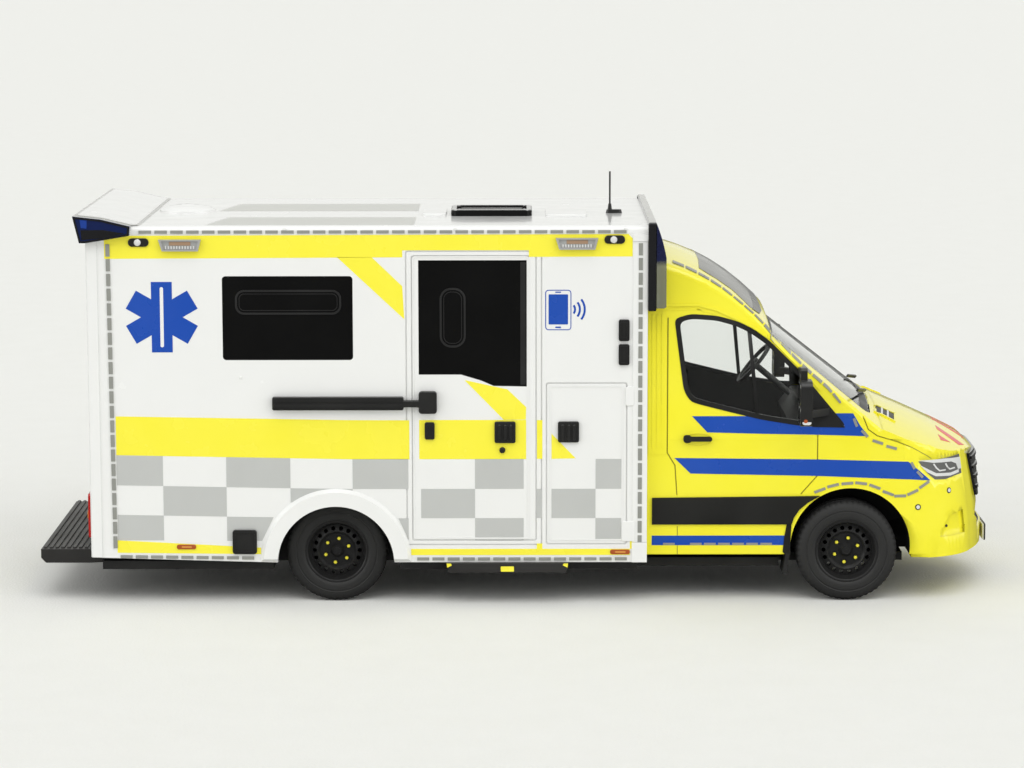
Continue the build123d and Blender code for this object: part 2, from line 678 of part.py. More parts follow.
VENT = (-26.5, 1.5)
with BuildPart() as roof_vent:
    with BuildSketch(plan(ROOF_Z)):
        with Locations(VENT):
            Circle(4.85)
    extrude(amount=1.3)
    fillet(roof_vent.edges().group_by(Axis.Z)[-1], 1.1)
save(roof_vent, "roof_vent")

ANTENNA = (46.0, -3.0)
with BuildPart() as antenna:
    with BuildSketch(plan(ROOF_Z)):
        rect(45.3, -3.7, 48.1, -2.3, 0.6)
    extrude(amount=0.6, taper=15)
    with BuildSketch(plan(ROOF_Z + 0.5)):
        with Locations(ANTENNA):
            Circle(0.4)
    extrude(amount=1.1, taper=8)
    with BuildSketch(plan(ROOF_Z + 1.5)):
        with Locations(ANTENNA):
            Circle(0.15)
    extrude(amount=5.6)
save(antenna, "antenna")

# Fittings on the box walls
with BuildPart() as door_rail:
    with BuildSketch(side(-BOX_HALF)):
        rect(-10.3, 32.8, 11.4, 35.0, 0.3)
        rect(11.0, 33.3, 15.0, 34.4)
        rect(13.9, 32.2, 16.9, 35.9, 0.5)
    extrude(amount=1.1)
save(door_rail, "door_rail")

HANDLES = [(14.85, 27.8, 16.5, 30.7), (26.4, 27.2, 29.9, 30.8), (36.9, 27.3, 40.4, 30.8), (46.9, 44.2, 48.7, 47.8),
           (46.9, 40.2, 48.7, 43.7)]
FILLER = (-17.2, 8.5, -13.15, 12.6)
with BuildPart() as door_hardware:
    with BuildSketch(side(-BOX_HALF)):
        for handle in HANDLES:
            rect(*handle, 0.35)
        rect(*FILLER, 0.5)
        with Locations((27.7, 26.0)):
            Circle(0.5)
    extrude(amount=0.5)
    with BuildSketch(side(BOX_HALF + 0.5)):
        for x in (27.0, 45.0):
            rect(x - 1.75, 27.2, x + 1.75, 30.8, 0.35)
    extrude(amount=0.5)
    with BuildSketch(across(BOX_REAR - 0.5)):
        rect(-3.0, 30.0, -1.2, 34.0, 0.35)
        for hinge_z in (22.0, 38.0, 54.0):
            for hinge_y in (-20.6, 20.6):
                rect(hinge_y - 0.9, hinge_z - 1.2, hinge_y + 0.9, hinge_z + 1.2, 0.3)
    extrude(amount=0.5)
save(door_hardware, "door_hardware")

OVALS = [(-33.7, 59.9, -30.3, 61.3), (44.5, 60.3, 47.9, 61.7)]
LAMP_XZ = [(-28.7, -21.7, 59.2, 61.1), (36.5, 43.5, 59.4, 61.3)]
MARKERS = [(-26.5, 9.3, -23.3, 10.1), (45.6, 8.4, 48.9, 9.2)]
with BuildPart() as corner_flashers:
    with BuildSketch(side(-BOX_HALF)):
        for oval in OVALS:
            rect(*oval, 0.68)
    extrude(amount=0.35)
    mirror(about=Plane.XZ)
save(corner_flashers, "corner_flashers")

with BuildPart() as scene_lamps:
    with BuildSketch(side(-BOX_HALF)):
        for x0, x1, z0, z1 in LAMP_XZ:
            shape((x0, z1), (x0 + 0.6, z0), (x1 - 0.5, z0), (x1, z1))
    extrude(amount=0.6)
    mirror(about=Plane.XZ)
    with BuildSketch(across(BOX_REAR - 0.6)):
        shape((-9.0, 60.4), (9.0, 60.4), (8.4, 59.7), (-8.4, 59.7))
    extrude(amount=0.6)
save(scene_lamps, "scene_lamps")

with BuildPart() as marker_lamps:
    with BuildSketch(side(-BOX_HALF)):
        for marker in MARKERS:
            rect(*marker, 0.35)
    extrude(amount=0.25)
    mirror(about=Plane.XZ)
save(marker_lamps, "marker_lamps")

with BuildPart() as tail_lamps:
    with BuildSketch(across(BOX_REAR - 0.7)):
        for sign in (-1, 1):
            rect(sign * 24.2, 11.0, sign * 20.8, 18.5, 0.6)
    extrude(amount=0.7)
save(tail_lamps, "tail_lamps")

# Steps
with BuildPart() as side_step:
    with BuildSketch(side(-20.0)):
        shape((18.4, BOX_SILL), (18.7, 5.45), (38.3, 5.45), (38.6, BOX_SILL))
    extrude(amount=6.0)
    add(base_plate.part, mode=Mode.SUBTRACT)
save(side_step, "side_step")

STEP_X = (-49.65, -40.7)
with BuildPart() as rear_step:
    with BuildSketch(side()):
        shape((STEP_X[0], 7.2), (STEP_X[0] + 0.8, 6.35), (-41.5, 6.35), (-30.0, 6.9), (-30.0, 7.6), (STEP_X[1], 7.6),
              (STEP_X[1], 8.7), (STEP_X[0], 8.7))
    extrude(amount=22.0, both=True)
    with BuildSketch(plan(8.7)):
        for rib in range(9):
            x = STEP_X[0] + 0.4 + rib * 0.98
            rect(x, -21.4, x + 0.55, 21.4)
    extrude(amount=0.3)
    add(base_plate.part, mode=Mode.SUBTRACT)
save(rear_step, "rear_step")
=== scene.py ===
import math

import bmesh
import bpy
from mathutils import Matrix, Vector
from mathutils.bvhtree import BVHTree


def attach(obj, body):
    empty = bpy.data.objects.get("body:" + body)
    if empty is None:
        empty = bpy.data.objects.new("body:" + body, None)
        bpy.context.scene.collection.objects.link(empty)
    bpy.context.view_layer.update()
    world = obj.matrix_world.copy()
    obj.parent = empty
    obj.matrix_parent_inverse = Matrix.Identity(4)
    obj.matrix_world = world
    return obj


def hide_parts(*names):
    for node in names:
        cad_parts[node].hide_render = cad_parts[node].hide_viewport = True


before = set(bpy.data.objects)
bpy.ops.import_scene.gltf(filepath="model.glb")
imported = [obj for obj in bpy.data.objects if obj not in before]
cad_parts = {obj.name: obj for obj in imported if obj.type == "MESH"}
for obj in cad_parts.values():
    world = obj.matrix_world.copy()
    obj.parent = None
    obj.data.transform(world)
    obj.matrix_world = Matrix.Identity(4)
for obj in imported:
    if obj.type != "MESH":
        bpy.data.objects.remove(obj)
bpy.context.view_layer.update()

# A collector's model of a box-bodied ambulance, about 1:43, on a pale table in a white light tent.
# It is seen square to its right side from half a metre away and a little above.
CAMERA_AT = (-0.00024, -0.5512, 0.11515)
CAMERA_TILT = (math.radians(81.555), 0.0013, 0.0018)
LENS_MM = 113.18
TABLE_HALF = 9.0
TENT_WHITE = (0.87, 0.875, 0.84)
TENT_LIGHT = (1.0, 1.0, 0.985)
TENT_STRENGTH = 0.6
TENT_FRONT = (-0.92, -0.4)
FRONT_SHADE = 0.1
# Near-black colour that the table shows in reflections only: a painted dark reflection.
PAPER_PAINTED_REFLECTION = (0.07, 0.07, 0.065)

scene = bpy.context.scene
scene.view_settings.view_transform = "Standard"
camera = bpy.data.objects.new("camera", bpy.data.cameras.new("camera"))
scene.collection.objects.link(camera)
camera.location = CAMERA_AT
camera.rotation_euler = CAMERA_TILT
camera.data.lens = LENS_MM
camera.data.clip_start = 0.01
camera.data.clip_end = 40.0
scene.camera = camera


def graded(nodes, from_low, from_high, to_low, to_high):
    """Map one span of values onto another."""
    span = nodes.new("ShaderNodeMapRange")
    span.inputs["From Min"].default_value = from_low
    span.inputs["From Max"].default_value = from_high
    span.inputs["To Min"].default_value = to_low
    span.inputs["To Max"].default_value = to_high
    return span


def finish(name, dark, pale, grain_mm, rough, relief_mm, **sockets):
    """A surface whose colour and roughness wander a little, with a fine grain in relief."""
    material = bpy.data.materials.new(name)
    material.use_nodes = True
    nodes, links = material.node_tree.nodes, material.node_tree.links
    shader = nodes["Principled BSDF"]
    place = nodes.new("ShaderNodeTexCoord")
    cloud = nodes.new("ShaderNodeTexNoise")
    cloud.inputs["Scale"].default_value = 120.0
    cloud.inputs["Detail"].default_value = 4.0
    grain = nodes.new("ShaderNodeTexNoise")
    grain.inputs["Scale"].default_value = 1000.0 / grain_mm
    grain.inputs["Detail"].default_value = 3.0
    tint = nodes.new("ShaderNodeMix")
    tint.data_type = "RGBA"
    tint.inputs["A"].default_value = (*dark, 1.0)
    tint.inputs["B"].default_value = (*pale, 1.0)
    polish = graded(nodes, 0.3, 0.7, *rough)
    bump = nodes.new("ShaderNodeBump")
    bump.inputs["Strength"].default_value = 1.0
    bump.inputs["Distance"].default_value = relief_mm * 0.001
    links.new(place.outputs["Object"], cloud.inputs["Vector"])
    links.new(place.outputs["Object"], grain.inputs["Vector"])
    links.new(cloud.outputs["Fac"], tint.inputs["Factor"])
    links.new(cloud.outputs["Fac"], polish.inputs["Value"])
    links.new(grain.outputs["Fac"], bump.inputs["Height"])
    links.new(tint.outputs["Result"], shader.inputs["Base Color"])
    links.new(polish.outputs["Result"], shader.inputs["Roughness"])
    links.new(bump.outputs["Normal"], shader.inputs["Normal"])
    for socket, value in sockets.items():
        shader.inputs[socket.replace("_", " ")].default_value = value
    return material


def combined(nodes, links, operation, first, second):
    """Two shares of light joined by one sum."""
    joined = nodes.new("ShaderNodeMath")
    joined.operation = operation
    joined.use_clamp = True
    links.new(first, joined.inputs[0])
    links.new(second, joined.inputs[1])
    return joined.outputs[0]


world = bpy.data.worlds.new("light_tent")
world.use_nodes = True
scene.world = world
tent, tent_links = world.node_tree.nodes, world.node_tree.links
tent.clear()
rays = tent.new("ShaderNodeLightPath").outputs
mirrored = combined(tent, tent_links, "MAXIMUM", rays["Is Glossy Ray"], rays["Is Transmission Ray"])
seen = combined(tent, tent_links, "MAXIMUM", rays["Is Camera Ray"], mirrored)
mirror_only = combined(tent, tent_links, "SUBTRACT", rays["Is Glossy Ray"], rays["Is Transmission Ray"])
bearing = tent.new("ShaderNodeTexCoord")
towards = tent.new("ShaderNodeSeparateXYZ")
dark_front = graded(tent, *TENT_FRONT, FRONT_SHADE, 1.0)
dimmed = tent.new("ShaderNodeMix")
dimmed.inputs["A"].default_value = 1.0
backdrop = tent.new("ShaderNodeBackground")
backdrop.inputs["Color"].default_value = (*TENT_WHITE, 1.0)
lamps = tent.new("ShaderNodeBackground")
lamps.inputs["Color"].default_value = (*TENT_LIGHT, 1.0)
lamps.inputs["Strength"].default_value = TENT_STRENGTH
choose = tent.new("ShaderNodeMixShader")
tent_out = tent.new("ShaderNodeOutputWorld")
tent_links.new(bearing.outputs["Generated"], towards.inputs[0])
tent_links.new(towards.outputs["Y"], dark_front.inputs["Value"])
tent_links.new(mirror_only, dimmed.inputs["Factor"])
tent_links.new(dark_front.outputs["Result"], dimmed.inputs["B"])
tent_links.new(dimmed.outputs["Result"], backdrop.inputs["Strength"])
tent_links.new(seen, choose.inputs[0])
tent_links.new(lamps.outputs[0], choose.inputs[1])
tent_links.new(backdrop.outputs[0], choose.inputs[2])
tent_links.new(choose.outputs[0], tent_out.inputs["Surface"])

for lamp_name, pitch, yaw, strength, spread in (
    ("tent_key", 30.0, 8.0, 1.02, 50.0),
    ("tent_low_left", 73.0, -60.0, 0.78, 45.0),
    ("tent_low_right", 73.0, 58.0, 0.64, 45.0),
):
    lamp = bpy.data.objects.new(lamp_name, bpy.data.lights.new(lamp_name, "SUN"))
    scene.collection.objects.link(lamp)
    lamp.rotation_euler = (math.radians(pitch), 0.0, math.radians(yaw))
    lamp.data.energy = strength
    lamp.data.angle = math.radians(spread)

table_mesh = bpy.data.meshes.new("table")
table_corners = [(x * TABLE_HALF, y * TABLE_HALF, 0) for x, y in ((-1, -1), (1, -1), (1, 1), (-1, 1))]
table_mesh.from_pydata(table_corners, [], [(0, 1, 2, 3)])
table = bpy.data.objects.new("table", table_mesh)
scene.collection.objects.link(table)
table_paper = finish("table_paper", (0.845, 0.85, 0.815), (0.875, 0.88, 0.85), 0.45, (0.8, 0.9), 0.09,
                     Specular_IOR_Level=0.1)
paper, paper_links = table_paper.node_tree.nodes, table_paper.node_tree.links
paper_colour = paper["Principled BSDF"].inputs["Base Color"]
# The table's colour turns near black for glossy rays only. This is a painted dark reflection of the table in
# the model's gloss, while the camera still sees pale paper.
paper_rays = paper.new("ShaderNodeLightPath").outputs
paper_reflection_paint = paper.new("ShaderNodeMix")
paper_reflection_paint.data_type = "RGBA"
paper_reflection_paint.inputs["B"].default_value = (*PAPER_PAINTED_REFLECTION, 1.0)
paper_mirror = combined(paper, paper_links, "SUBTRACT", paper_rays["Is Glossy Ray"],
                        paper_rays["Is Transmission Ray"])
paper_links.new(paper_colour.links[0].from_socket, paper_reflection_paint.inputs["A"])
paper_links.new(paper_mirror, paper_reflection_paint.inputs["Factor"])
paper_links.new(paper_reflection_paint.outputs["Result"], paper_colour)
table.data.materials.append(table_paper)

# Chassis: a black moulded base plate with rails and wheel wells, held by two screws, with a grey pipe
# under it. The wheels turn on two plain steel pins.
MM = 0.001
REAR_AXLE = -30.6


def dress(material, *nodes):
    """Give CAD pieces their finish."""
    for node in nodes:
        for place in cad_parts[node].material_slots:
            place.material = material


chassis_black = finish("chassis_black", (0.013, 0.013, 0.013), (0.022, 0.022, 0.021), 0.25, (0.42, 0.6),
                       0.012)
dress(chassis_black, "base_plate", "mudflaps")
dress(finish("exhaust_grey", (0.10, 0.10, 0.105), (0.16, 0.16, 0.165), 0.2, (0.35, 0.5), 0.01, Metallic=0.7),
      "exhaust")
dress(finish("pin_steel", (0.52, 0.52, 0.53), (0.62, 0.62, 0.63), 0.1, (0.2, 0.3), 0.003, Metallic=1.0),
      "front_axle_rod", "rear_axle_rod")


def at(x, y, z):
    """A place given in millimetres forward of the rear axle, left of the middle and above the table."""
    return Vector((x + REAR_AXLE, y, z)) * MM


def make(name, mesh, material, body="vehicle", crease=35.0):
    """Put a finished mesh on the model, smooth but for its sharper edges."""
    bmesh.ops.remove_doubles(mesh, verts=mesh.verts, dist=1e-7)
    bmesh.ops.recalc_face_normals(mesh, faces=mesh.faces)
    data = bpy.data.meshes.new(name)
    mesh.to_mesh(data)
    mesh.free()
    data.polygons.foreach_set("use_smooth", [True] * len(data.polygons))
    data.set_sharp_from_angle(angle=math.radians(crease))
    data.materials.append(material)
    piece = bpy.data.objects.new(name, data)
    scene.collection.objects.link(piece)
    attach(piece, body)
    return piece


# Wheels: soft vinyl tyres with a grooved tread and raised sidewall rings, pushed onto black moulded
# rims. The rims keep their vent holes and get a turned flange, a hub cap and yellow-tipped nuts.
WHEELBASE = 85.2
AXLE_Z = 8.45
TYRE_FACE = 23.0
TYRE_SIDE = [(0.0, 5.22), (-0.2, 5.45), (-0.27, 6.0), (-0.25, 6.55), (-0.17, 6.62), (-0.17, 6.8),
             (-0.24, 6.88), (-0.19, 7.25), (-0.08, 7.62)]
TYRE_BLOCK = [(0.12, 7.98), (0.42, 8.26)]
TYRE_TREAD = [(0.78, 8.4), (1.15, 8.45), (1.2, 8.2), (1.4, 8.2), (1.45, 8.45), (2.3, 8.45), (2.35, 8.2),
              (2.6, 8.2)]
TYRE_STEPS = 156
TREAD_CUT = 0.16
RIM_FLANGE = [(0.35, 4.72), (-0.02, 4.86), (-0.1, 5.0), (-0.1, 5.22), (0.1, 5.3), (0.6, 5.2), (0.35, 4.72)]
HUB_CAP = [(0.85, 0.0001), (0.84, 0.42), (0.86, 0.52), (0.8, 0.56), (0.8, 0.74), (0.95, 0.84), (1.3, 0.84)]
NUT_TIP = [(1.1, 0.3), (0.98, 0.3), (0.86, 0.2), (0.82, 0.0001)]
NUT_RING = 2.05
NUT_TURN = 21.0
HALF_WHEEL = 2.7


def turned(mesh, rings, steps, centre_x, centre_z, hand, notch=None):
    """Turn a section about a wheel's axle. hand is -1 on the right; a notch lowers every third step."""
    rows = []
    for step in range(steps):
        angle = 2 * math.pi * step / steps
        row = []
        for i, (inward, radius) in enumerate(rings):
            if notch and i in notch and step % 3 == 0:
                radius -= TREAD_CUT
            y = hand * (TYRE_FACE - inward)
            x, z = centre_x + radius * math.cos(angle), centre_z + radius * math.sin(angle)
            row.append(mesh.verts.new(at(x, y, z)))
        rows.append(row)
    for step in range(steps):
        here, after = rows[step], rows[(step + 1) % steps]
        for i in range(len(rings) - 1):
            mesh.faces.new((here[i], here[i + 1], after[i + 1], after[i]))


near_half = TYRE_SIDE + TYRE_BLOCK + TYRE_TREAD
tyre_section = near_half + [(2 * HALF_WHEEL - inward, radius) for inward, radius in reversed(near_half)]
tyre_section.append(tyre_section[0])
near_block = [len(TYRE_SIDE) + i for i in range(len(TYRE_BLOCK) + 2)]
notched = near_block + [len(tyre_section) - 2 - i for i in near_block]
tyre_vinyl = finish("tyre_vinyl", (0.014, 0.014, 0.014), (0.026, 0.026, 0.025), 0.15, (0.55, 0.75), 0.015)
rim_black = finish("rim_black", (0.012, 0.012, 0.012), (0.02, 0.02, 0.02), 0.2, (0.3, 0.42), 0.006)
nut_yellow = finish("nut_yellow", (0.78, 0.70, 0.04), (0.86, 0.78, 0.06), 0.1, (0.3, 0.4), 0.004)
for axle, axle_x in (("front", WHEELBASE), ("rear", 0.0)):
    for hand_name, hand in (("right", -1), ("left", 1)):
        wheel = f"{axle}_{hand_name}"
        body = f"{axle}_axle"
        tyre_mesh = bmesh.new()
        turned(tyre_mesh, tyre_section, TYRE_STEPS, axle_x, AXLE_Z, hand, notched)
        tyre = make(f"{wheel}_tread_tyre", tyre_mesh, tyre_vinyl, body)
        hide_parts(f"{wheel}_tyre")
        dress(rim_black, f"{wheel}_rim")
        flange_mesh = bmesh.new()
        turned(flange_mesh, RIM_FLANGE, 96, axle_x, AXLE_Z, hand)
        turned(flange_mesh, HUB_CAP, 36, axle_x, AXLE_Z, hand)
        make(f"{wheel}_flange", flange_mesh, rim_black, body)
        tips_mesh = bmesh.new()
        for nut in range(6):
            angle = math.radians(NUT_TURN + 60 * nut)
            nut_x, nut_z = axle_x + NUT_RING * math.cos(angle), AXLE_Z + NUT_RING * math.sin(angle)
            turned(tips_mesh, NUT_TIP, 6, nut_x, nut_z, hand)
        make(f"{wheel}_nut_tips", tips_mesh, nut_yellow, body)

# Box body: five cast panels in gloss white, glued at the corners under a white trim. Fine raised seams
# run round the doors and lockers, and a few small studs stand on the right side.
BOX_HALF = 25.1
BOX_REAR = -40.6
ROOF_Z = 63.3
SEAM = 0.24
RIGHT_SEAMS = ((12.9, 11.0, 32.1, 58.3), (35.5, 10.7, 47.7, 36.8))
LEFT_SEAMS = ((12.7, 10.7, 29.3, 36.6), (34.7, 10.7, 47.7, 57.7))
REAR_SEAMS = ((-18.8, 11.1, -0.8, 58.8), (0.8, 11.1, 18.8, 58.8))
STUDS = ((-15.5, 38.15), (-36.9, 62.75), (-8.0, 62.75), (20.0, 62.75), (48.0, 62.75))

white_lacquer = finish("white_lacquer", (0.83, 0.835, 0.82), (0.86, 0.865, 0.85), 0.5, (0.16, 0.28), 0.003,
                       Coat_Weight=0.5, Coat_Roughness=0.06)
dress(white_lacquer, "box_right_wall", "box_left_wall", "box_rear_wall", "box_front_wall", "box_roof")


def right_side(x, z, out):
    return at(x, -BOX_HALF - out, z)


def left_side(x, z, out):
    return at(x, BOX_HALF + out, z)


def rear_side(y, z, out):
    return at(BOX_REAR - out, y, z)


def roof_top(x, y, out):
    return at(x, y, ROOF_Z + out)


def box_of(x0, z0, x1, z1):
    """The four corners of a flat rectangle."""
    return [(x0, z0), (x1, z0), (x1, z1), (x0, z1)]


def rounded(x0, z0, x1, z1, corner, steps=4):
    """A flat rectangle with rounded corners."""
    outline = []
    for centre_x, centre_z, first in ((x1 - corner, z1 - corner, 0), (x0 + corner, z1 - corner, 90),
                                      (x0 + corner, z0 + corner, 180), (x1 - corner, z0 + corner, 270)):
        for step in range(steps + 1):
            angle = math.radians(first + 90 * step / steps)
            outline.append((centre_x + corner * math.cos(angle), centre_z + corner * math.sin(angle)))
    return outline


def round_spot(x, z, radius, points):
    """A flat round outline."""
    angles = [2 * math.pi * k / points for k in range(points)]
    return [(x + radius * math.cos(angle), z + radius * math.sin(angle)) for angle in angles]


def slab(mesh, side, outline, low, high, shrink=0.0):
    """A flat piece standing on one side of the body, its top edge drawn in a little by shrink."""
    middle_u = sum(p[0] for p in outline) / len(outline)
    middle_v = sum(p[1] for p in outline) / len(outline)
    base = [mesh.verts.new(side(u, v, low)) for u, v in outline]
    rings = [base]
    if shrink:
        rings.append([mesh.verts.new(side(u, v, high - shrink)) for u, v in outline])
    top = []
    for u, v in outline:
        reach = math.hypot(u - middle_u, v - middle_v)
        keep = 1 - shrink / reach if reach > shrink else 1
        kept_u, kept_v = middle_u + (u - middle_u) * keep, middle_v + (v - middle_v) * keep
        top.append(mesh.verts.new(side(kept_u, kept_v, high)))
    rings.append(top)
    for lower, upper in zip(rings, rings[1:]):
        for i in range(len(outline)):
            j = (i + 1) % len(outline)
            mesh.faces.new((lower[i], lower[j], upper[j], upper[i]))
    mesh.faces.new(base)
    mesh.faces.new(top)


def rim_round(mesh, side, outer, inner, low, high):
    """A flat ring between two outlines that have the same number of points."""
    rows = [[mesh.verts.new(side(u, v, level)) for u, v in outline]
            for outline, level in ((outer, low), (outer, high), (inner, high), (inner, low))]
    for k in range(4):
        here, after = rows[k], rows[(k + 1) % 4]
        for i in range(len(outer)):
            j = (i + 1) % len(outer)
            mesh.faces.new((here[i], here[j], after[j], after[i]))


trim_mesh = bmesh.new()
for side in (right_side, left_side):
    slab(trim_mesh, side, box_of(-40.55, 7.95, -38.9, 61.7), -0.05, 0.16, 0.05)
    slab(trim_mesh, side, box_of(49.25, 10.45, 51.65, 60.65), -0.05, 0.12, 0.05)
    slab(trim_mesh, side, box_of(-38.9, 61.95, 49.2, 62.15), -0.05, 0.07, 0.02)
for y0, y1 in ((-25.05, -23.6), (23.6, 25.05)):
    slab(trim_mesh, rear_side, box_of(y0, 7.95, y1, 61.7), -0.05, 0.16, 0.05)
make("corner_trims", trim_mesh, white_lacquer)

seam_mesh = bmesh.new()
for side, seams in ((right_side, RIGHT_SEAMS), (left_side, LEFT_SEAMS), (rear_side, REAR_SEAMS)):
    for x0, z0, x1, z1 in seams:
        inner = rounded(x0 + SEAM, z0 + SEAM, x1 - SEAM, z1 - SEAM, 0.3)
        rim_round(seam_mesh, side, rounded(x0, z0, x1, z1, 0.5), inner, -0.03, 0.08)
for x, z in STUDS:
    slab(seam_mesh, right_side, round_spot(x, z, 0.28, 12), -0.02, 0.14, 0.1)
make("panel_seams", seam_mesh, white_lacquer)

# Box windows: polished black panes set just inside their openings. Each has a raised outline of
# its sliding vent, and the side door's pane a lighter upright at its front edge.
PANE_IN = 0.25
SLIDING_VENTS = [(right_side, -16.3, 48.6, 1.2, 52.7, 1.5), (right_side, 17.4, 43.1, 21.7, 53.0, 1.9),
                 (left_side, -16.3, 48.6, 1.2, 52.7, 1.5), (rear_side, -13.2, 48.6, -5.6, 52.7, 1.5),
                 (rear_side, 5.6, 48.6, 13.2, 52.7, 1.5)]
glazing = finish("black_glazing", (0.004, 0.004, 0.004), (0.008, 0.008, 0.008), 0.6, (0.06, 0.16), 0.0015,
                 Specular_IOR_Level=0.16)
vent_line = finish("vent_line", (0.018, 0.018, 0.018), (0.03, 0.03, 0.03), 0.15, (0.3, 0.5), 0.006,
                   Specular_IOR_Level=0.3)
dress(glazing, "box_windows")
vent_mesh = bmesh.new()
for side, x0, z0, x1, z1, corner in SLIDING_VENTS:
    for edge, width, lift in ((0.0, 0.34, 0.1), (0.62, 0.12, 0.05)):
        far = edge + width
        outer = rounded(x0 + edge, z0 + edge, x1 - edge, z1 - edge, corner - edge, 8)
        inner = rounded(x0 + far, z0 + far, x1 - far, z1 - far, corner - far, 8)
        rim_round(vent_mesh, side, outer, inner, -PANE_IN - 0.05, -PANE_IN + lift)
slab(vent_mesh, right_side, box_of(30.7, 36.9, 31.6, 57.3), -PANE_IN - 0.05, -PANE_IN + 0.05, 0.02)
make("window_vents", vent_mesh, vent_line)

# Roof: two printed grey walkways, two low white pads, a domed vent, a hatch in a bright frame and a
# whip aerial, all glued to the cast roof.
WALKWAYS = [[(-21.0, 0.7), (13.2, 0.7), (13.2, 13.8), (-18.4, 13.8)],
            [(-18.4, -10.7), (13.2, -10.7), (13.2, -23.9), (-21.0, -23.9)]]
VENT_AT = (-26.5, 1.5)
VENT_DOME = [(4.85, 0.0), (4.8, 0.3), (4.6, 0.42), (4.45, 0.36), (4.3, 0.48), (3.4, 0.82), (2.2, 1.02),
             (1.1, 1.1), (1.0, 1.16), (0.001, 1.18)]
walkway_grey = finish("walkway_grey", (0.58, 0.585, 0.55), (0.66, 0.665, 0.63), 0.2, (0.45, 0.6), 0.008)
walkway_mesh = bmesh.new()
for outline in WALKWAYS:
    slab(walkway_mesh, roof_top, outline, -0.02, 0.04)
make("roof_walkways", walkway_mesh, walkway_grey)
pad_mesh = bmesh.new()
slab(pad_mesh, roof_top, rounded(14.2, -9.5, 18.2, 1.5, 0.8), -0.05, 0.5, 0.15)
slab(pad_mesh, roof_top, rounded(35.0, -10.0, 42.0, 1.5, 1.0), -0.05, 0.35, 0.12)
make("roof_pads", pad_mesh, white_lacquer)
roof_vent_mesh = bmesh.new()
for step in range(64):
    near, far = 2 * math.pi * step / 64, 2 * math.pi * (step + 1) / 64
    for (r0, z0), (r1, z1) in zip(VENT_DOME, VENT_DOME[1:]):
        corners = ((r0, z0, near), (r0, z0, far), (r1, z1, far), (r1, z1, near))
        points = [roof_top(VENT_AT[0] + r * math.cos(a), VENT_AT[1] + r * math.sin(a), z)
                  for r, z, a in corners]
        roof_vent_mesh.faces.new([roof_vent_mesh.verts.new(point) for point in points])
vent_dome = make("vent_dome", roof_vent_mesh, white_lacquer)
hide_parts("roof_vent")
hatch_frame = finish("hatch_frame", (0.5, 0.5, 0.5), (0.6, 0.6, 0.6), 0.15, (0.18, 0.3), 0.004, Metallic=0.9)
dress(glazing, "roof_hatch")
hatch_mesh = bmesh.new()
rim_round(hatch_mesh, roof_top, rounded(19.2, -8.6, 32.5, 0.6, 1.1), rounded(19.9, -7.9, 31.8, -0.1, 0.8),
          0.9, 1.08)
make("hatch_rim", hatch_mesh, hatch_frame)
hatch_slats = bmesh.new()
for k in range(5):
    slab(hatch_slats, roof_top, rounded(20.6, -7.3 + 1.4 * k, 31.1, -6.5 + 1.4 * k, 0.3), 0.65, 0.86, 0.06)
make("hatch_slats", hatch_slats, glazing)
aerial_black = finish("aerial_black", (0.012, 0.012, 0.012), (0.02, 0.02, 0.02), 0.15, (0.3, 0.45), 0.005)
dress(aerial_black, "antenna")

# Door rail, handles, locks, filler flap and hinges: satin black mouldings pinned to the box walls.
# Their moulded edges are rounded off, and the handles have a recessed grip.
FITTING_RIMS = ((15.1, 28.2, 16.2, 30.3), (47.15, 44.6, 48.45, 47.4), (47.15, 40.5, 48.45, 43.4),
                (-16.8, 8.9, -13.5, 12.2))
DOOR_LOCK = (27.7, 26.0)
fitting_black = finish("fitting_black", (0.014, 0.014, 0.014), (0.026, 0.026, 0.025), 0.2, (0.28, 0.42),
                       0.008)


def softened(node, name, material, edge_mm, segments=2):
    """Stand in for a CAD piece with a copy of its mesh whose edges are rounded off."""
    mesh = bmesh.new()
    mesh.from_mesh(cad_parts[node].data)
    bmesh.ops.remove_doubles(mesh, verts=mesh.verts, dist=2e-6)
    bmesh.ops.dissolve_limit(mesh, angle_limit=math.radians(1.0), verts=mesh.verts, edges=mesh.edges)
    piece = make(name, mesh, material)
    edge = piece.modifiers.new("rounded_edge", "BEVEL")
    edge.width = edge_mm * MM
    edge.segments = segments
    edge.limit_method = "ANGLE"
    edge.angle_limit = math.radians(40)
    edge.harden_normals = True
    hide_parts(node)
    return piece


softened("door_rail", "rail_and_carriage", fitting_black, 0.14)
softened("door_hardware", "handles_and_hinges", fitting_black, 0.1)
grip_mesh = bmesh.new()
for x0, z0, x1, z1 in FITTING_RIMS:
    inner = rounded(x0 + 0.2, z0 + 0.2, x1 - 0.2, z1 - 0.2, 0.15)
    rim_round(grip_mesh, right_side, rounded(x0, z0, x1, z1, 0.3), inner, 0.46, 0.58)
for x0, side in ((26.4, right_side), (36.9, right_side), (25.25, left_side), (43.25, left_side)):
    for bar in (0.55, 1.55, 2.45):
        slab(grip_mesh, side, rounded(x0 + bar, 27.7, x0 + bar + 0.5, 30.3, 0.2), 0.44, 0.72, 0.1)
slab(grip_mesh, right_side, round_spot(*DOOR_LOCK, 0.36, 16), 0.4, 0.62, 0.08)
slab(grip_mesh, right_side, rounded(-10.0, 33.3, 11.2, 33.9, 0.15), 1.0, 1.28, 0.08)
slab(grip_mesh, right_side, rounded(-9.6, 34.3, 11.0, 34.6, 0.1), 1.0, 1.2, 0.06)
make("grips_and_locks", grip_mesh, fitting_black)
bracket_mesh = bmesh.new()
for side in (right_side, left_side):
    slab(bracket_mesh, side, rounded(47.5, 10.6, 49.7, 14.0, 0.3), -0.02, 0.22, 0.06)
    slab(bracket_mesh, side, rounded(48.1, 33.4, 49.5, 36.6, 0.3), -0.02, 0.2, 0.06)
make("locker_hinges", bracket_mesh, white_lacquer)

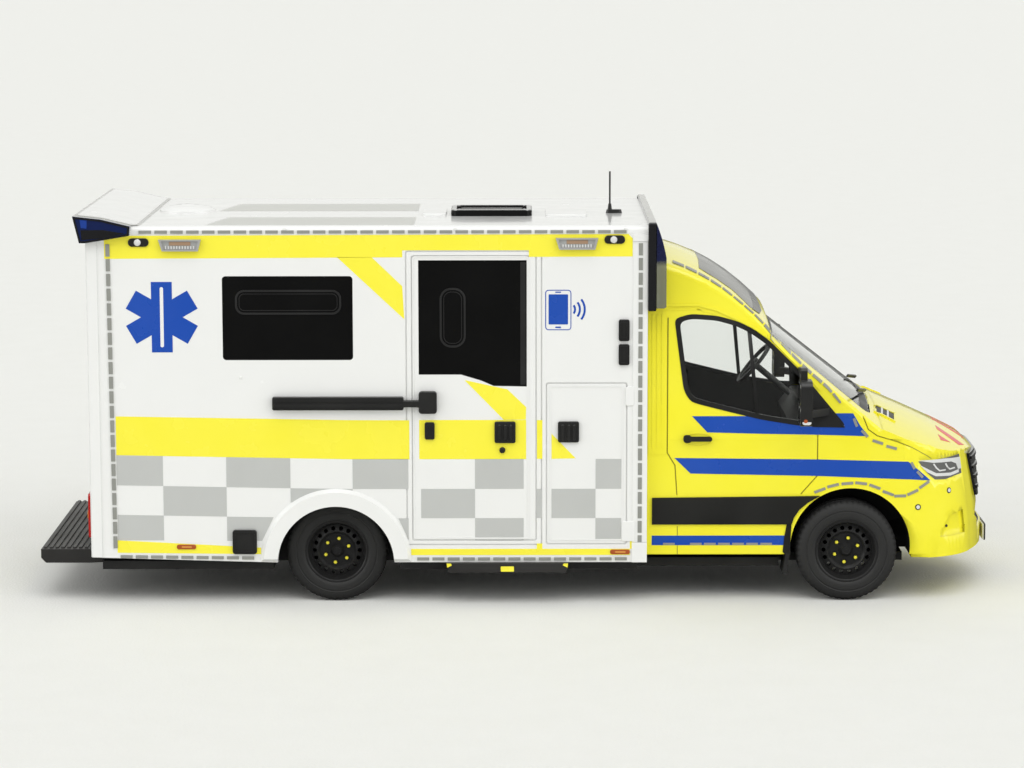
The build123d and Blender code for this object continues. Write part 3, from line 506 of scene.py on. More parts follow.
# Corner flashers: black oval housings with a clear dome each, glued to the yellow band.
# Scene lamps: bright trays behind a clear cover with a warm filament bar, one at each end of the band.
FLASHER_OVALS = ((-33.7, 59.9, -30.3, 61.3), (44.5, 60.3, 47.9, 61.7))
LAMP_TRAYS = ((-28.7, -21.7, 59.2, 61.1), (36.5, 43.5, 59.4, 61.3))
lens_clear = finish("lens_clear", (0.7, 0.71, 0.7), (0.85, 0.85, 0.84), 0.3, (0.06, 0.14), 0.006,
                    Metallic=0.1)
lamp_tray = finish("lamp_tray", (0.38, 0.385, 0.38), (0.58, 0.58, 0.57), 0.2, (0.15, 0.3), 0.01,
                   Metallic=0.2)
filament = finish("lamp_filament", (0.32, 0.2, 0.12), (0.45, 0.3, 0.2), 0.2, (0.3, 0.4), 0.006)
softened("corner_flashers", "flasher_housings", fitting_black, 0.1)
dome_mesh = bmesh.new()
for side in (right_side, left_side):
    for x0, z0, x1, z1 in FLASHER_OVALS:
        middle_x, middle_z = (x0 + x1) / 2 - 0.15, (z0 + z1) / 2
        for radius, low, high in ((0.56, 0.3, 0.45), (0.44, 0.44, 0.56), (0.24, 0.55, 0.62)):
            slab(dome_mesh, side, round_spot(middle_x, middle_z, radius, 24), low, high, 0.07)
make("flasher_domes", dome_mesh, lens_clear)
dress(lamp_tray, "scene_lamps")
tray_mesh, filament_mesh, rib_mesh = bmesh.new(), bmesh.new(), bmesh.new()
for side in (right_side, left_side):
    for x0, x1, z0, z1 in LAMP_TRAYS:
        outer = [(x0, z1), (x0 + 0.6, z0), (x1 - 0.5, z0), (x1, z1)]
        inner = [(x0 + 0.5, z1 - 0.25), (x0 + 0.85, z0 + 0.25), (x1 - 0.8, z0 + 0.25), (x1 - 0.5, z1 - 0.25)]
        rim_round(tray_mesh, side, outer, inner, 0.5, 0.85)
        slab(filament_mesh, side, box_of(x0 + 1.8, z1 - 0.95, x1 - 1.7, z1 - 0.35), 0.55, 0.7, 0.03)
        for rib in range(11):
            rib_x = x0 + 1.1 + rib * 0.46
            slab(rib_mesh, side, box_of(rib_x, z0 + 0.35, rib_x + 0.22, z1 - 1.05), 0.58, 0.72, 0.05)
make("lamp_bezels", tray_mesh, lamp_tray)
make("lamp_filaments", filament_mesh, filament)
make("lamp_ribs", rib_mesh, lens_clear)

# Marker lamps and tail lamps: tinted red and orange mouldings, low on the sides and on the rear wall.
# Each is glued on, and has an amber insert behind its face.
marker_orange = finish("marker_orange", (0.36, 0.075, 0.02), (0.46, 0.11, 0.03), 0.3, (0.15, 0.25), 0.006)
tail_red = finish("tail_red", (0.42, 0.012, 0.01), (0.52, 0.02, 0.016), 0.4, (0.1, 0.2), 0.006,
                  Coat_Weight=0.4)
softened("marker_lamps", "side_markers", marker_orange, 0.08)
softened("tail_lamps", "tail_lamp_bodies", tail_red, 0.15)
insert_amber = finish("insert_amber", (0.6, 0.24, 0.05), (0.7, 0.32, 0.08), 0.3, (0.12, 0.2), 0.005)
glow_mesh = bmesh.new()
for x0, z0, x1, z1 in ((-26.5, 9.3, -23.3, 10.1), (45.6, 8.4, 48.9, 9.2)):
    for side in (right_side, left_side):
        slab(glow_mesh, side, rounded(x0 + 0.8, z0 + 0.25, x1 - 0.7, z1 - 0.25, 0.14), 0.2, 0.32, 0.04)
for y in (-22.5, 22.5):
    slab(glow_mesh, rear_side, rounded(y - 1.3, 14.2, y + 1.3, 15.6, 0.3), 0.6, 0.85, 0.08)
make("lamp_inserts", glow_mesh, insert_amber)

# Front light bar: a black horseshoe panel on the front of the box with a clear moulding over it,
# smoky blue down to half height and clear below.
LENS_STEP_Z = 57.1
BAR_TOP_Z = 63.8
BAR_FACE = 53.1
bar_black = finish("bar_black", (0.008, 0.008, 0.009), (0.016, 0.016, 0.018), 0.3, (0.08, 0.18), 0.004,
                   Coat_Weight=0.5)
softened("front_light_bar", "light_bar_panel", bar_black, 0.25, 3)
bar_lens = finish("bar_lens", (0.02, 0.024, 0.085), (0.30, 0.31, 0.23), 0.5, (0.05, 0.12), 0.004,
                  Transmission_Weight=0.5, IOR=1.45)
tones, tone_links = bar_lens.node_tree.nodes, bar_lens.node_tree.links
lens_place = tones.new("ShaderNodeTexCoord")
lens_height = tones.new("ShaderNodeSeparateXYZ")
lens_step = graded(tones, (LENS_STEP_Z - 0.5) * MM, (LENS_STEP_Z + 0.5) * MM, 1.0, 0.0)
tone_links.new(lens_place.outputs["Object"], lens_height.inputs[0])
tone_links.new(lens_height.outputs["Z"], lens_step.inputs["Value"])
tone_links.new(lens_step.outputs["Result"], tones["Mix"].inputs["Factor"])
dress(bar_lens, "front_light_lens")
bar_grey = finish("bar_grey", (0.5, 0.5, 0.48), (0.6, 0.6, 0.57), 0.3, (0.2, 0.35), 0.006, Metallic=0.3)


def bar_top(x, y, out):
    return at(x, y, BAR_TOP_Z + out)


def bar_face(y, z, out):
    return at(BAR_FACE + out, y, z)


top_mesh = bmesh.new()
slab(top_mesh, bar_top, box_of(51.9, -25.6, 53.0, 25.6), -0.04, 0.12, 0.05)
make("light_bar_top", top_mesh, bar_grey)
led_mesh = bmesh.new()
for k in range(9):
    y = -18.4 + 4.6 * k
    slab(led_mesh, bar_face, rounded(y - 1.7, 59.6, y + 1.7, 61.4, 0.3), -0.02, 0.5, 0.1)
for y in (-23.8, 23.8):
    for z in (50.6, 52.8, 55.0, 57.2):
        slab(led_mesh, bar_face, rounded(y - 1.5, z, y + 1.5, z + 1.6, 0.3), -0.02, 0.5, 0.1)
make("light_bar_lamps", led_mesh, lens_clear)

# Rear light bar: a deep blue bowl-shaped moulding hung on the roof's rear edge, under a white lid
# with a silver-grey rim that is wider along the back.
BAR_LID = [(-42.65, 65.0), (-38.0, 64.5), (-33.2, 63.35)]
LID_EDGE = [(-42.3, 0.3), (-41.9, 0.0), (-38.0, 0.0), (-33.2, 0.0), (-32.2, 0.1), (-31.9, 0.5)]
LID = [(-41.95, 0.3), (-41.6, 0.0), (-38.0, 0.0), (-33.2, 0.0), (-32.6, 0.1), (-32.3, 0.5)]
BAR_HALF = 26.4
BAR_END = [(-42.6, 64.95), (-38.0, 64.45), (-33.3, 63.3), (-33.45, 61.85), (-37.5, 61.15), (-40.55, 60.65),
           (-41.55, 60.65)]
BAR_END_PANE = [(-41.15, 61.1), (-37.0, 61.5), (-34.2, 62.2), (-37.5, 62.75), (-41.3, 62.75)]
# Painted highlight on each end of the navy lens, near its rear tip.
BAR_PAINTED_GLINT = [(-41.4, 64.45), (-41.25, 63.1), (-40.3, 63.0), (-40.25, 64.35)]
navy_lens = finish("navy_lens", (0.004, 0.008, 0.045), (0.008, 0.02, 0.10), 0.6, (0.05, 0.12), 0.004,
                   Coat_Weight=0.6)
dress(navy_lens, "rear_light_lens")
dress(bar_grey, "rear_light_bar")


def lid_height(x):
    """Height of the rear light bar's top over a place along the model."""
    for (x0, z0), (x1, z1) in zip(BAR_LID, BAR_LID[1:]):
        if x <= x1:
            return z0 + (z1 - z0) * (x - x0) / (x1 - x0)
    return BAR_LID[-1][1]


def lid_panel(mesh, y_half, stations, low, high):
    """A sheet lying on the light bar's top between stations, closed all round."""
    rows = []
    for x, inset in stations:
        z = lid_height(x)
        corners = [(y, lift) for y in (-y_half + inset, y_half - inset) for lift in (low, high)]
        rows.append([mesh.verts.new(at(x, y, z + lift)) for y, lift in corners])
    for here, after in zip(rows, rows[1:]):
        for a, b in ((0, 1), (1, 3), (3, 2), (2, 0)):
            mesh.faces.new((here[a], here[b], after[b], after[a]))
    mesh.faces.new((rows[0][0], rows[0][1], rows[0][3], rows[0][2]))
    mesh.faces.new((rows[-1][0], rows[-1][1], rows[-1][3], rows[-1][2]))


def inset_outline(outline, amount):
    """Draw a closed outline in towards its inside."""
    turn = sum(x0 * z1 - x1 * z0 for (x0, z0), (x1, z1) in zip(outline, outline[1:] + outline[:1]))
    sign = 1 if turn > 0 else -1
    inner = []
    for i, (x, z) in enumerate(outline):
        before, after = outline[i - 1], outline[(i + 1) % len(outline)]
        a = Vector((x - before[0], z - before[1])).normalized()
        b = Vector((after[0] - x, after[1] - z)).normalized()
        bisector = Vector((-(a.y + b.y), a.x + b.x)).normalized() * sign
        reach = amount / max(0.4, math.sqrt((1 + a.dot(b)) / 2))
        inner.append((x + bisector.x * reach, z + bisector.y * reach))
    return inner


def bar_end_right(x, z, out):
    return at(x, -BAR_HALF - out, z)


def bar_end_left(x, z, out):
    return at(x, BAR_HALF + out, z)


lid_edge_mesh, lid_mesh, end_mesh, painted_glint_mesh = bmesh.new(), bmesh.new(), bmesh.new(), bmesh.new()
lid_panel(lid_edge_mesh, 24.6, LID_EDGE, -0.05, 0.09)
lid_panel(lid_mesh, 24.25, LID, 0.0, 0.2)
for side in (bar_end_right, bar_end_left):
    rim_round(end_mesh, side, BAR_END, inset_outline(BAR_END, 0.3), -0.05, 0.1)
    slab(end_mesh, side, BAR_END_PANE, -0.05, 0.05, 0.02)
    slab(painted_glint_mesh, side, BAR_PAINTED_GLINT, -0.05, 0.05, 0.02)
make("rear_bar_lid_edge", lid_edge_mesh, bar_grey)
make("rear_bar_lid", lid_mesh, white_lacquer)
make("rear_bar_ends", end_mesh, bar_black)
# A light blue patch near the rear tip of each bar end: a painted highlight on the navy lens, not a lamp.
painted_glint_blue = finish("painted_glint_blue", (0.01, 0.04, 0.24), (0.02, 0.06, 0.32), 0.4, (0.08, 0.16), 0.004)
make("rear_bar_painted_glints", painted_glint_mesh, painted_glint_blue)

# Cab: one cast shell in gloss yellow, black on its inner faces, in its wheel arches and underneath. The
# triangles of its flat sides are joined, so that the lacquer shades evenly over the doors and wings.
CABIN_MID = at(70.0, 0.0, 36.0)
ARCH_CENTRE = (85.75, 9.2)
ARCH_REACH = 10.1
WING_FRONT = 95.0
CAB_FLOOR_Z = 7.4
yellow_lacquer = finish("yellow_lacquer", (0.93, 0.85, 0.03), (0.96, 0.885, 0.045), 0.5, (0.14, 0.26), 0.003,
                        Coat_Weight=0.5, Coat_Roughness=0.06)
inside_black = finish("inside_black", (0.006, 0.006, 0.006), (0.011, 0.011, 0.011), 0.6, (0.55, 0.7), 0.003,
                      Specular_IOR_Level=0.2)
shell_mesh = bmesh.new()
shell_mesh.from_mesh(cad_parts["cab_shell"].data)
bmesh.ops.remove_doubles(shell_mesh, verts=shell_mesh.verts, dist=2e-6)
flat_side = [edge for edge in shell_mesh.edges if edge.verts[0].co.x < at(WING_FRONT, 0, 0).x
             and all(abs(face.normal.y) > 0.985 for face in edge.link_faces)]
bmesh.ops.dissolve_limit(shell_mesh, angle_limit=math.radians(0.4), verts=[], edges=flat_side)
for face in shell_mesh.faces:
    middle = face.calc_center_median()
    away = face.normal.dot(middle - CABIN_MID)
    x, y, z = (middle / MM).x - REAR_AXLE, abs(middle.y) / MM, middle.z / MM
    in_cabin = away < 0 and x < 89.4 and z > 8.0 and y < 22.6
    in_arch = math.hypot(x - ARCH_CENTRE[0], z - ARCH_CENTRE[1]) < ARCH_REACH and y < 23.2
    underneath = face.normal.z < -0.8 and z < CAB_FLOOR_Z and x < 101.0 and y < 22.4
    face.material_index = 1 if in_cabin or in_arch or underneath else 0
cab_body = make("cab_body", shell_mesh, yellow_lacquer, crease=28.0)
cab_body.data.materials.append(inside_black)
even_shading = cab_body.modifiers.new("even_shading", "WEIGHTED_NORMAL")
even_shading.weight = 80
even_shading.keep_sharp = True
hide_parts("cab_shell")

# Cab relief: the rear corner columns with their flutes, the drip rails over the doors, painted shade along
# the door and bonnet joints, and a door handle in a shallow dish on each side.
DISH_AT = (60.2, 27.4)
DISH_REACH = (1.35, 0.55)
COLUMN = [(51.9, 24.9), (54.9, 25.0), (54.9, 48.6), (51.9, 48.6)]
CAB_CUTS = [[(55.2, 47.6), (55.1, 25.2), (56.4, 23.05), (56.75, 18.1)], [(56.85, 12.8), (56.9, 7.2)],
            [(80.1, 29.3), (80.1, 21.3), (77.4, 18.2)],
            [(87.7, 31.0), (88.5, 29.05), (90.0, 28.0), (93.4, 27.0), (95.85, 26.0), (98.4, 24.5),
             (99.2, 23.9)]]
DRIP_RAIL = [(52.6, 49.7), (60.2, 49.7), (63.2, 48.95), (66.7, 47.35), (69.4, 46.0), (72.3, 44.0),
             (77.7, 38.8), (80.6, 35.6)]
SKIN_LEAST = 9.0


def skin_tree(*nodes):
    """The faces of CAD pieces, for laying sheets and small parts on."""
    points, faces = [], []
    for node in nodes:
        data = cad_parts[node].data
        faces += [tuple(len(points) + i for i in p.vertices) for p in data.polygons]
        points += [v.co.copy() for v in data.vertices]
    return BVHTree.FromPolygons(points, faces)


cab_skin = skin_tree("cab_shell", "headlamps")


def from_right(x, z):
    """The cab's skin seen from its right side, and which way it faces there."""
    hit, normal, _, _ = cab_skin.ray_cast(at(x, -45.0, z), Vector((0, 1, 0)))
    if hit is None or hit.y > -SKIN_LEAST * MM:
        hit, normal, _, _ = cab_skin.find_nearest(at(x, -23.2, z))
    return hit, normal if normal.y < 0 else -normal


def from_left(x, z):
    """The cab's skin seen from its left side."""
    hit, normal, _, _ = cab_skin.ray_cast(at(x, 45.0, z), Vector((0, -1, 0)))
    if hit is None or hit.y < SKIN_LEAST * MM:
        hit, normal, _, _ = cab_skin.find_nearest(at(x, 23.2, z))
    return hit, normal if normal.y > 0 else -normal


def from_above(x, y):
    """The cab's skin seen from above."""
    hit, normal, _, _ = cab_skin.ray_cast(at(x, y, 90.0), Vector((0, 0, -1)))
    return hit, normal if normal.z > 0 else -normal


def laid(mesh, outline, view, low, high, cell=1.3):
    """A thin sheet cut to a flat outline and laid on the cab's curved skin."""
    flat = bmesh.new()
    flat.faces.new([flat.verts.new((a, b, 0.0)) for a, b in outline])
    for axis, across in ((0, (1, 0, 0)), (1, (0, 1, 0))):
        values = [point[axis] for point in outline]
        cut = math.floor(min(values) / cell) * cell + cell
        while cut < max(values):
            bmesh.ops.bisect_plane(flat, geom=flat.verts[:] + flat.edges[:] + flat.faces[:], dist=1e-5,
                                   plane_co=Vector(across) * cut, plane_no=across)
            cut += cell
    under, over = {}, {}
    for vert in flat.verts:
        hit, normal = view(vert.co.x, vert.co.y)
        under[vert] = mesh.verts.new(hit + normal * low * MM)
        over[vert] = mesh.verts.new(hit + normal * high * MM)
    for face in flat.faces:
        mesh.faces.new([over[v] for v in face.verts])
        mesh.faces.new([under[v] for v in reversed(face.verts)])
    for edge in flat.edges:
        if len(edge.link_faces) == 1:
            a, b = edge.verts
            mesh.faces.new((under[a], under[b], over[b], over[a]))
    flat.free()


def ribbon(mesh, points, width, view, low, high, cell=1.3):
    """A strip of even width laid along a line on the cab's skin, piece by piece."""
    left, right = [], []
    for i, (x, z) in enumerate(points):
        before, after = points[max(i - 1, 0)], points[min(i + 1, len(points) - 1)]
        run_x, run_z = after[0] - before[0], after[1] - before[1]
        length = math.hypot(run_x, run_z)
        off_x, off_z = -run_z / length * width / 2, run_x / length * width / 2
        left.append((x + off_x, z + off_z))
        right.append((x - off_x, z - off_z))
    for i in range(len(points) - 1):
        laid(mesh, [right[i], right[i + 1], left[i + 1], left[i]], view, low, high, cell)


# Thin dark yellow strips laid in the engraved door and bonnet cuts: painted shade standing for the shadow in
# the cuts.
joint_shade = finish("joint_shade", (0.30, 0.28, 0.02), (0.38, 0.35, 0.03), 0.3, (0.4, 0.5), 0.004)
column_mesh, joint_mesh, handle_mesh = bmesh.new(), bmesh.new(), bmesh.new()
for view in (from_right, from_left):
    laid(column_mesh, COLUMN, view, -0.1, 0.12)
    for x in (52.7, 53.5, 54.3):
        ribbon(column_mesh, [(x, 26.0), (x, 48.2)], 0.3, view, 0.05, 0.24)
    ribbon(column_mesh, DRIP_RAIL, 0.4, view, -0.1, 0.26)
    ribbon(column_mesh, [(x, z - 0.75) for x, z in DRIP_RAIL[:3]], 0.2, view, -0.1, 0.08)
    for cut in CAB_CUTS:
        ribbon(joint_mesh, cut, 0.13, view, -0.02, 0.03)
    for k in range(24):
        before, after = 2 * math.pi * k / 24, 2 * math.pi * (k + 1) / 24
        dish = [(DISH_AT[0] + radius * DISH_REACH[0] * math.cos(angle),
                 DISH_AT[1] + radius * DISH_REACH[1] * math.sin(angle))
                for radius, angle in ((2.0, before), (2.0, after), (1.8, after), (1.8, before))]
        laid(column_mesh, dish, view, -0.05, 0.09)
    laid(handle_mesh, rounded(57.9, 27.2, 62.5, 27.95, 0.35), view, 0.45, 0.85)
    laid(handle_mesh, rounded(57.75, 26.95, 59.1, 28.2, 0.5), view, -0.05, 0.7)
    laid(handle_mesh, rounded(61.7, 27.25, 62.4, 27.9, 0.3), view, -0.05, 0.5)
make("cab_columns", column_mesh, yellow_lacquer)
make("cab_joints", joint_mesh, joint_shade)
make("door_handles", handle_mesh, fitting_black)

# Cab glazing: clear sheet in the doors and windscreen, with a moulded black frame round each door
# window, a divider bar, and a black sail plate at the mirror's foot.
DOOR_GLASS = [(56.6, 47.2), (59.0, 47.9), (63.3, 47.6), (66.6, 46.7), (69.1, 45.5), (71.8, 43.6),
              (77.2, 38.3), (84.2, 29.9), (80.3, 29.9), (77.2, 30.0), (70.9, 31.0), (65.9, 32.2),
              (60.7, 33.5), (59.1, 34.0), (58.1, 35.7)]
DIVIDER_BAR = [(68.3, 45.9), (69.0, 45.6), (70.4, 31.1), (69.8, 31.2)]
SAIL_PLATE = [(78.9, 36.4), (84.6, 29.4), (79.2, 29.5)]
HALF_WIDTHS = [(27.5, 23.4), (32.0, 23.0), (49.5, 21.2), (61.0, 20.4)]
clear_sheet = finish("clear_sheet", (0.93, 0.95, 0.94), (0.97, 0.98, 0.97), 0.8, (0.005, 0.015), 0.0,
                     Transmission_Weight=1.0, IOR=1.3, Specular_IOR_Level=0.35)
dress(clear_sheet, "windscreen", "door_windows")
frame_rubber = finish("frame_rubber", (0.012, 0.012, 0.012), (0.02, 0.02, 0.02), 0.15, (0.35, 0.5), 0.006)


def side_skin(z):
    """Half width of the cab's upper side at a height."""
    for (z0, y0), (z1, y1) in zip(HALF_WIDTHS, HALF_WIDTHS[1:]):
        if z <= z1:
            return y0 + (y1 - y0) * (z - z0) / (z1 - z0)
    return HALF_WIDTHS[-1][1]


def eased(outline, reach):
    """Round every corner of a closed outline a little."""
    soft = []
    for i, (x, z) in enumerate(outline):
        before, after = outline[i - 1], outline[(i + 1) % len(outline)]
        ends = []
        for other in (before, after):
            share = min(0.45, reach / math.dist(other, (x, z)))
            ends.append((x + (other[0] - x) * share, z + (other[1] - z) * share))
        for step in (0.0, 0.33, 0.67, 1.0):
            rest = 1 - step
            soft.append(tuple(rest ** 2 * start + 2 * step * rest * corner + step ** 2 * stop
                              for start, corner, stop in zip(ends[0], (x, z), ends[1])))
    return soft


def upper_right(x, z, out):
    return at(x, -side_skin(z) - out, z)


def upper_left(x, z, out):
    return at(x, side_skin(z) + out, z)


frame_mesh = bmesh.new()
rubber_outer = eased(inset_outline(DOOR_GLASS, -0.3), 0.9)
rubber_inner = eased(inset_outline(DOOR_GLASS, 0.5), 0.9)
for side in (upper_right, upper_left):
    rim_round(frame_mesh, side, rubber_outer, rubber_inner, -0.6, 0.1)
    slab(frame_mesh, side, DIVIDER_BAR, -0.5, 0.02, 0.02)
    slab(frame_mesh, side, SAIL_PLATE, -0.6, 0.16, 0.05)
make("door_window_frames", frame_mesh, frame_rubber, crease=50.0)

# Cabin: a black moulded tub with a dashboard and a three-spoked wheel, and two dark grey seats whose
# cushions have three stitched channels each. It is pushed into the shell from below.
cabin_black = finish("cabin_black", (0.02, 0.02, 0.02), (0.035, 0.035, 0.034), 0.2, (0.5, 0.65), 0.012)
seat_grey = finish("seat_grey", (0.025, 0.025, 0.027), (0.05, 0.05, 0.053), 0.12, (0.6, 0.8), 0.02)
dress(cabin_black, "cab_interior", "dashboard", "steering_wheel")
SEAT_MID = 10.5
CHANNEL = 2.8
CUSHION_Z = 26.2


def cushion_top(middle):
    """The top of a seat's cushion, told from the middle of one channel."""
    def place(x, across, out):
        return at(x, middle + across, CUSHION_Z + out)
    return place


def backrest_front(middle):
    """The front of a backrest, which leans a little, told from the middle of one channel."""
    def place(z, across, out):
        return at(56.0 + out + (30 - z) * 0.06, middle + across, z)
    return place


def headrest_front(middle):
    """The front of a headrest."""
    def place(z, across, out):
        return at(54.0 + out, middle + across, z)
    return place


seat_mesh = bmesh.new()
for seat_y in (-SEAT_MID, SEAT_MID):
    for channel in (-CHANNEL, 0.0, CHANNEL):
        slab(seat_mesh, cushion_top(seat_y + channel), rounded(57.3, -1.3, 65.8, 1.3, 0.5), -0.6, 1.0, 0.3)
        slab(seat_mesh, backrest_front(seat_y + channel), rounded(28.0, -1.3, 42.4, 1.3, 0.5), -0.4, 1.1,
             0.3)
    slab(seat_mesh, headrest_front(seat_y), rounded(42.6, -2.6, 47.0, 2.6, 1.0), 0.0, 2.0, 0.5)
make("seat_cushions", seat_mesh, seat_grey, crease=50.0)
dress(seat_grey, "cab_seats")

# Nose: a gloss black grille with raised slats and a plain disc, a black intake, four parking sensors,
# cowl vents behind the bonnet, and headlamps with white bands and light guides under a clear cover.
LAMP_BAND = [(96.9, 23.75), (99.5, 23.2), (102.9, 22.95), (103.9, 22.4), (104.3, 21.4), (105.0, 21.3),
             (104.7, 23.3), (101.8, 23.65)]
LAMP_FOOT = [(97.2, 23.0), (98.5, 21.7), (100.0, 20.9), (102.7, 20.65), (104.4, 20.85), (104.4, 21.35),
             (102.7, 21.15), (100.1, 21.4), (98.8, 22.1)]
LIGHT_GUIDES = [[(99.6, 23.0), (100.1, 22.3), (100.7, 21.75), (101.8, 21.75)],
                [(101.8, 22.8), (102.2, 22.1), (102.6, 21.75), (103.6, 21.8)]]
COWL_VENT = [(90.2, -15.5), (90.8, -10.5), (94.3, -11.3), (93.7, -16.8)]
SENSORS = [(102.46, -20.22, 18.25), (96.96, -23.22, 15.95)]
TOW_COVER_DOT = (102.07, 20.63, 12.3)
DISC_Z = 19.6
dress(bar_black, "grille")
dress(frame_rubber, "bumper_inserts")
lamp_dim = finish("lamp_dim", (0.09, 0.09, 0.088), (0.2, 0.2, 0.195), 0.5, (0.08, 0.16), 0.004,
                  Coat_Weight=0.6)
dress(lamp_dim, "headlamps")
nose_tree = skin_tree("cab_shell", "grille", "bumper_inserts")
slat_mesh, disc_mesh, lamp_mesh = bmesh.new(), bmesh.new(), bmesh.new()
cowl_mesh, rim_mesh, bar_mesh = bmesh.new(), bmesh.new(), bmesh.new()
sensor_ring, sensor_dot, fog_dot = bmesh.new(), bmesh.new(), bmesh.new()


def from_front(y, z):
    """The nose seen from the front."""
    hit, normal, _, _ = nose_tree.ray_cast(at(125.0, y, z), Vector((-1, 0, 0)))
    return hit, normal if normal.x > 0 else -normal


def stud(mesh, place, radius, low, high):
    """A small round piece standing on the cab's skin."""
    hit, normal, _, _ = cab_skin.find_nearest(place)
    if normal.y * place.y < 0:
        normal = -normal
    turn = Vector((0, 0, 1)).rotation_difference(normal)
    rings = []
    for level in (low, high):
        points = [Vector((x, y, level)) for x, y in round_spot(0.0, 0.0, radius, 20)]
        rings.append([mesh.verts.new(hit + turn @ point * MM) for point in points])
    for k in range(20):
        mesh.faces.new((rings[0][k], rings[0][(k + 1) % 20], rings[1][(k + 1) % 20], rings[1][k]))
    mesh.faces.new(rings[0])
    mesh.faces.new(rings[1])


for z, half in ((22.3, 11.5), (20.6, 11.1), (18.9, 10.7), (17.1, 10.3)):
    laid(slat_mesh, box_of(-half, z - 0.25, half, z + 0.25), from_front, -0.1, 0.2)
for z in (11.1, 11.7, 12.3):
    laid(slat_mesh, box_of(-10.2, z - 0.12, 10.2, z + 0.12), from_front, -0.1, 0.2)
make("grille_slats", slat_mesh, bar_black)
for radius, high in ((2.0, 0.3), (1.5, 0.4)):
    laid(disc_mesh, round_spot(0.0, DISC_Z, radius, 32), from_front, -0.1, high)
make("grille_disc", disc_mesh, bar_black)
for hand, view in ((-1, from_right), (1, from_left)):
    laid(lamp_mesh, LAMP_BAND, view, -0.02, 0.05, 0.8)
    laid(lamp_mesh, LAMP_FOOT, view, -0.02, 0.05, 0.8)
    for guide in LIGHT_GUIDES:
        ribbon(lamp_mesh, guide, 0.24, view, -0.02, 0.06)
    vent = [(x, -hand * y) for x, y in COWL_VENT]
    vent_mid = [sum(point[i] for point in vent) / 4 for i in (0, 1)]
    inner = [tuple(vent_mid[i] + (point[i] - vent_mid[i]) * 0.84 for i in (0, 1)) for point in vent]
    for i in range(4):
        j = (i + 1) % 4
        laid(rim_mesh, [vent[i], vent[j], inner[j], inner[i]], from_above, -0.1, 0.24, 0.5)
    laid(cowl_mesh, inner, from_above, -0.05, 0.1, 0.5)
    for share in (0.33, 0.66):
        start = [inner[0][i] + (inner[3][i] - inner[0][i]) * share for i in (0, 1)]
        stop = [inner[1][i] + (inner[2][i] - inner[1][i]) * share for i in (0, 1)]
        ribbon(bar_mesh, [start, stop], 0.32, from_above, 0.0, 0.2)
    for x, y, z in SENSORS:
        stud(sensor_ring, at(x, -hand * y, z), 0.5, -0.1, 0.06)
        stud(sensor_dot, at(x, -hand * y, z), 0.33, 0.0, 0.12)
    stud(fog_dot, at(TOW_COVER_DOT[0], hand * TOW_COVER_DOT[1], TOW_COVER_DOT[2]), 0.24, -0.1, 0.1)
lamp_white = finish("lamp_white", (0.66, 0.67, 0.66), (0.78, 0.79, 0.78), 0.3, (0.1, 0.2), 0.003)
make("lamp_bands", lamp_mesh, lamp_white)
make("cowl_vent_bars", bar_mesh, lamp_white)
make("cowl_vent_rims", rim_mesh, yellow_lacquer)
make("cowl_vents", cowl_mesh, frame_rubber)
make("sensor_rings", sensor_ring, frame_rubber)
make("sensor_faces", sensor_dot, lamp_white)
make("tow_cover_dots", fog_dot, frame_rubber)

# Number plates: blank white plates, front and back, each with a thin raised edge. The front one is
# glued to a black backing on the bumper, the rear one to the door.
plate_white = finish("plate_white", (0.80, 0.80, 0.78), (0.85, 0.85, 0.83), 0.3, (0.3, 0.4), 0.004)
PLATE_FACE = 110.85
dress(plate_white, "number_plates")


def front_plate(y, z, out):
    return at(PLATE_FACE + out, y, z)


plate_mesh, backing_mesh = bmesh.new(), bmesh.new()
for side, y0, z0, y1, z1, face in ((front_plate, -6.05, 7.1, 6.05, 9.7, 0.0),
                                   (rear_side, 7.0, 11.2, 19.1, 13.8, 0.3)):
    outer = rounded(y0 + 0.05, z0 + 0.05, y1 - 0.05, z1 - 0.05, 0.3)
    inner = rounded(y0 + 0.25, z0 + 0.25, y1 - 0.25, z1 - 0.25, 0.2)
    rim_round(plate_mesh, side, outer, inner, face - 0.05, face)
slab(backing_mesh, front_plate, rounded(-6.25, 6.95, 6.25, 9.85, 0.3), -0.3, -0.1)
make("plate_edges", plate_mesh, plate_white)
make("plate_backing", backing_mesh, frame_rubber)

# Mirrors and wipers: satin black mouldings on two arms, each mirror with two glasses behind and a
# clear indicator with an amber lamp low on its outer side. The screen has a black printed border.
MIRROR_REAR = 76.6
MIRROR_SIDE = 30.6
softened("mirror_right", "right_mirror_housing", fitting_black, 0.35, 3)
softened("mirror_left", "left_mirror_housing", fitting_black, 0.35, 3)
dress(frame_rubber, "wipers")
mirror_glass = finish("mirror_glass", (0.75, 0.76, 0.77), (0.8, 0.81, 0.82), 0.4, (0.02, 0.05), 0.001,
                      Metallic=1.0)


def right_mirror_back(y, z, out):
    return at(MIRROR_REAR - out, -y, z)


def left_mirror_back(y, z, out):
    return at(MIRROR_REAR - out, y, z)


def right_mirror_side(x, z, out):
    return at(x, -MIRROR_SIDE - out, z)


def left_mirror_side(x, z, out):
    return at(x, MIRROR_SIDE + out, z)


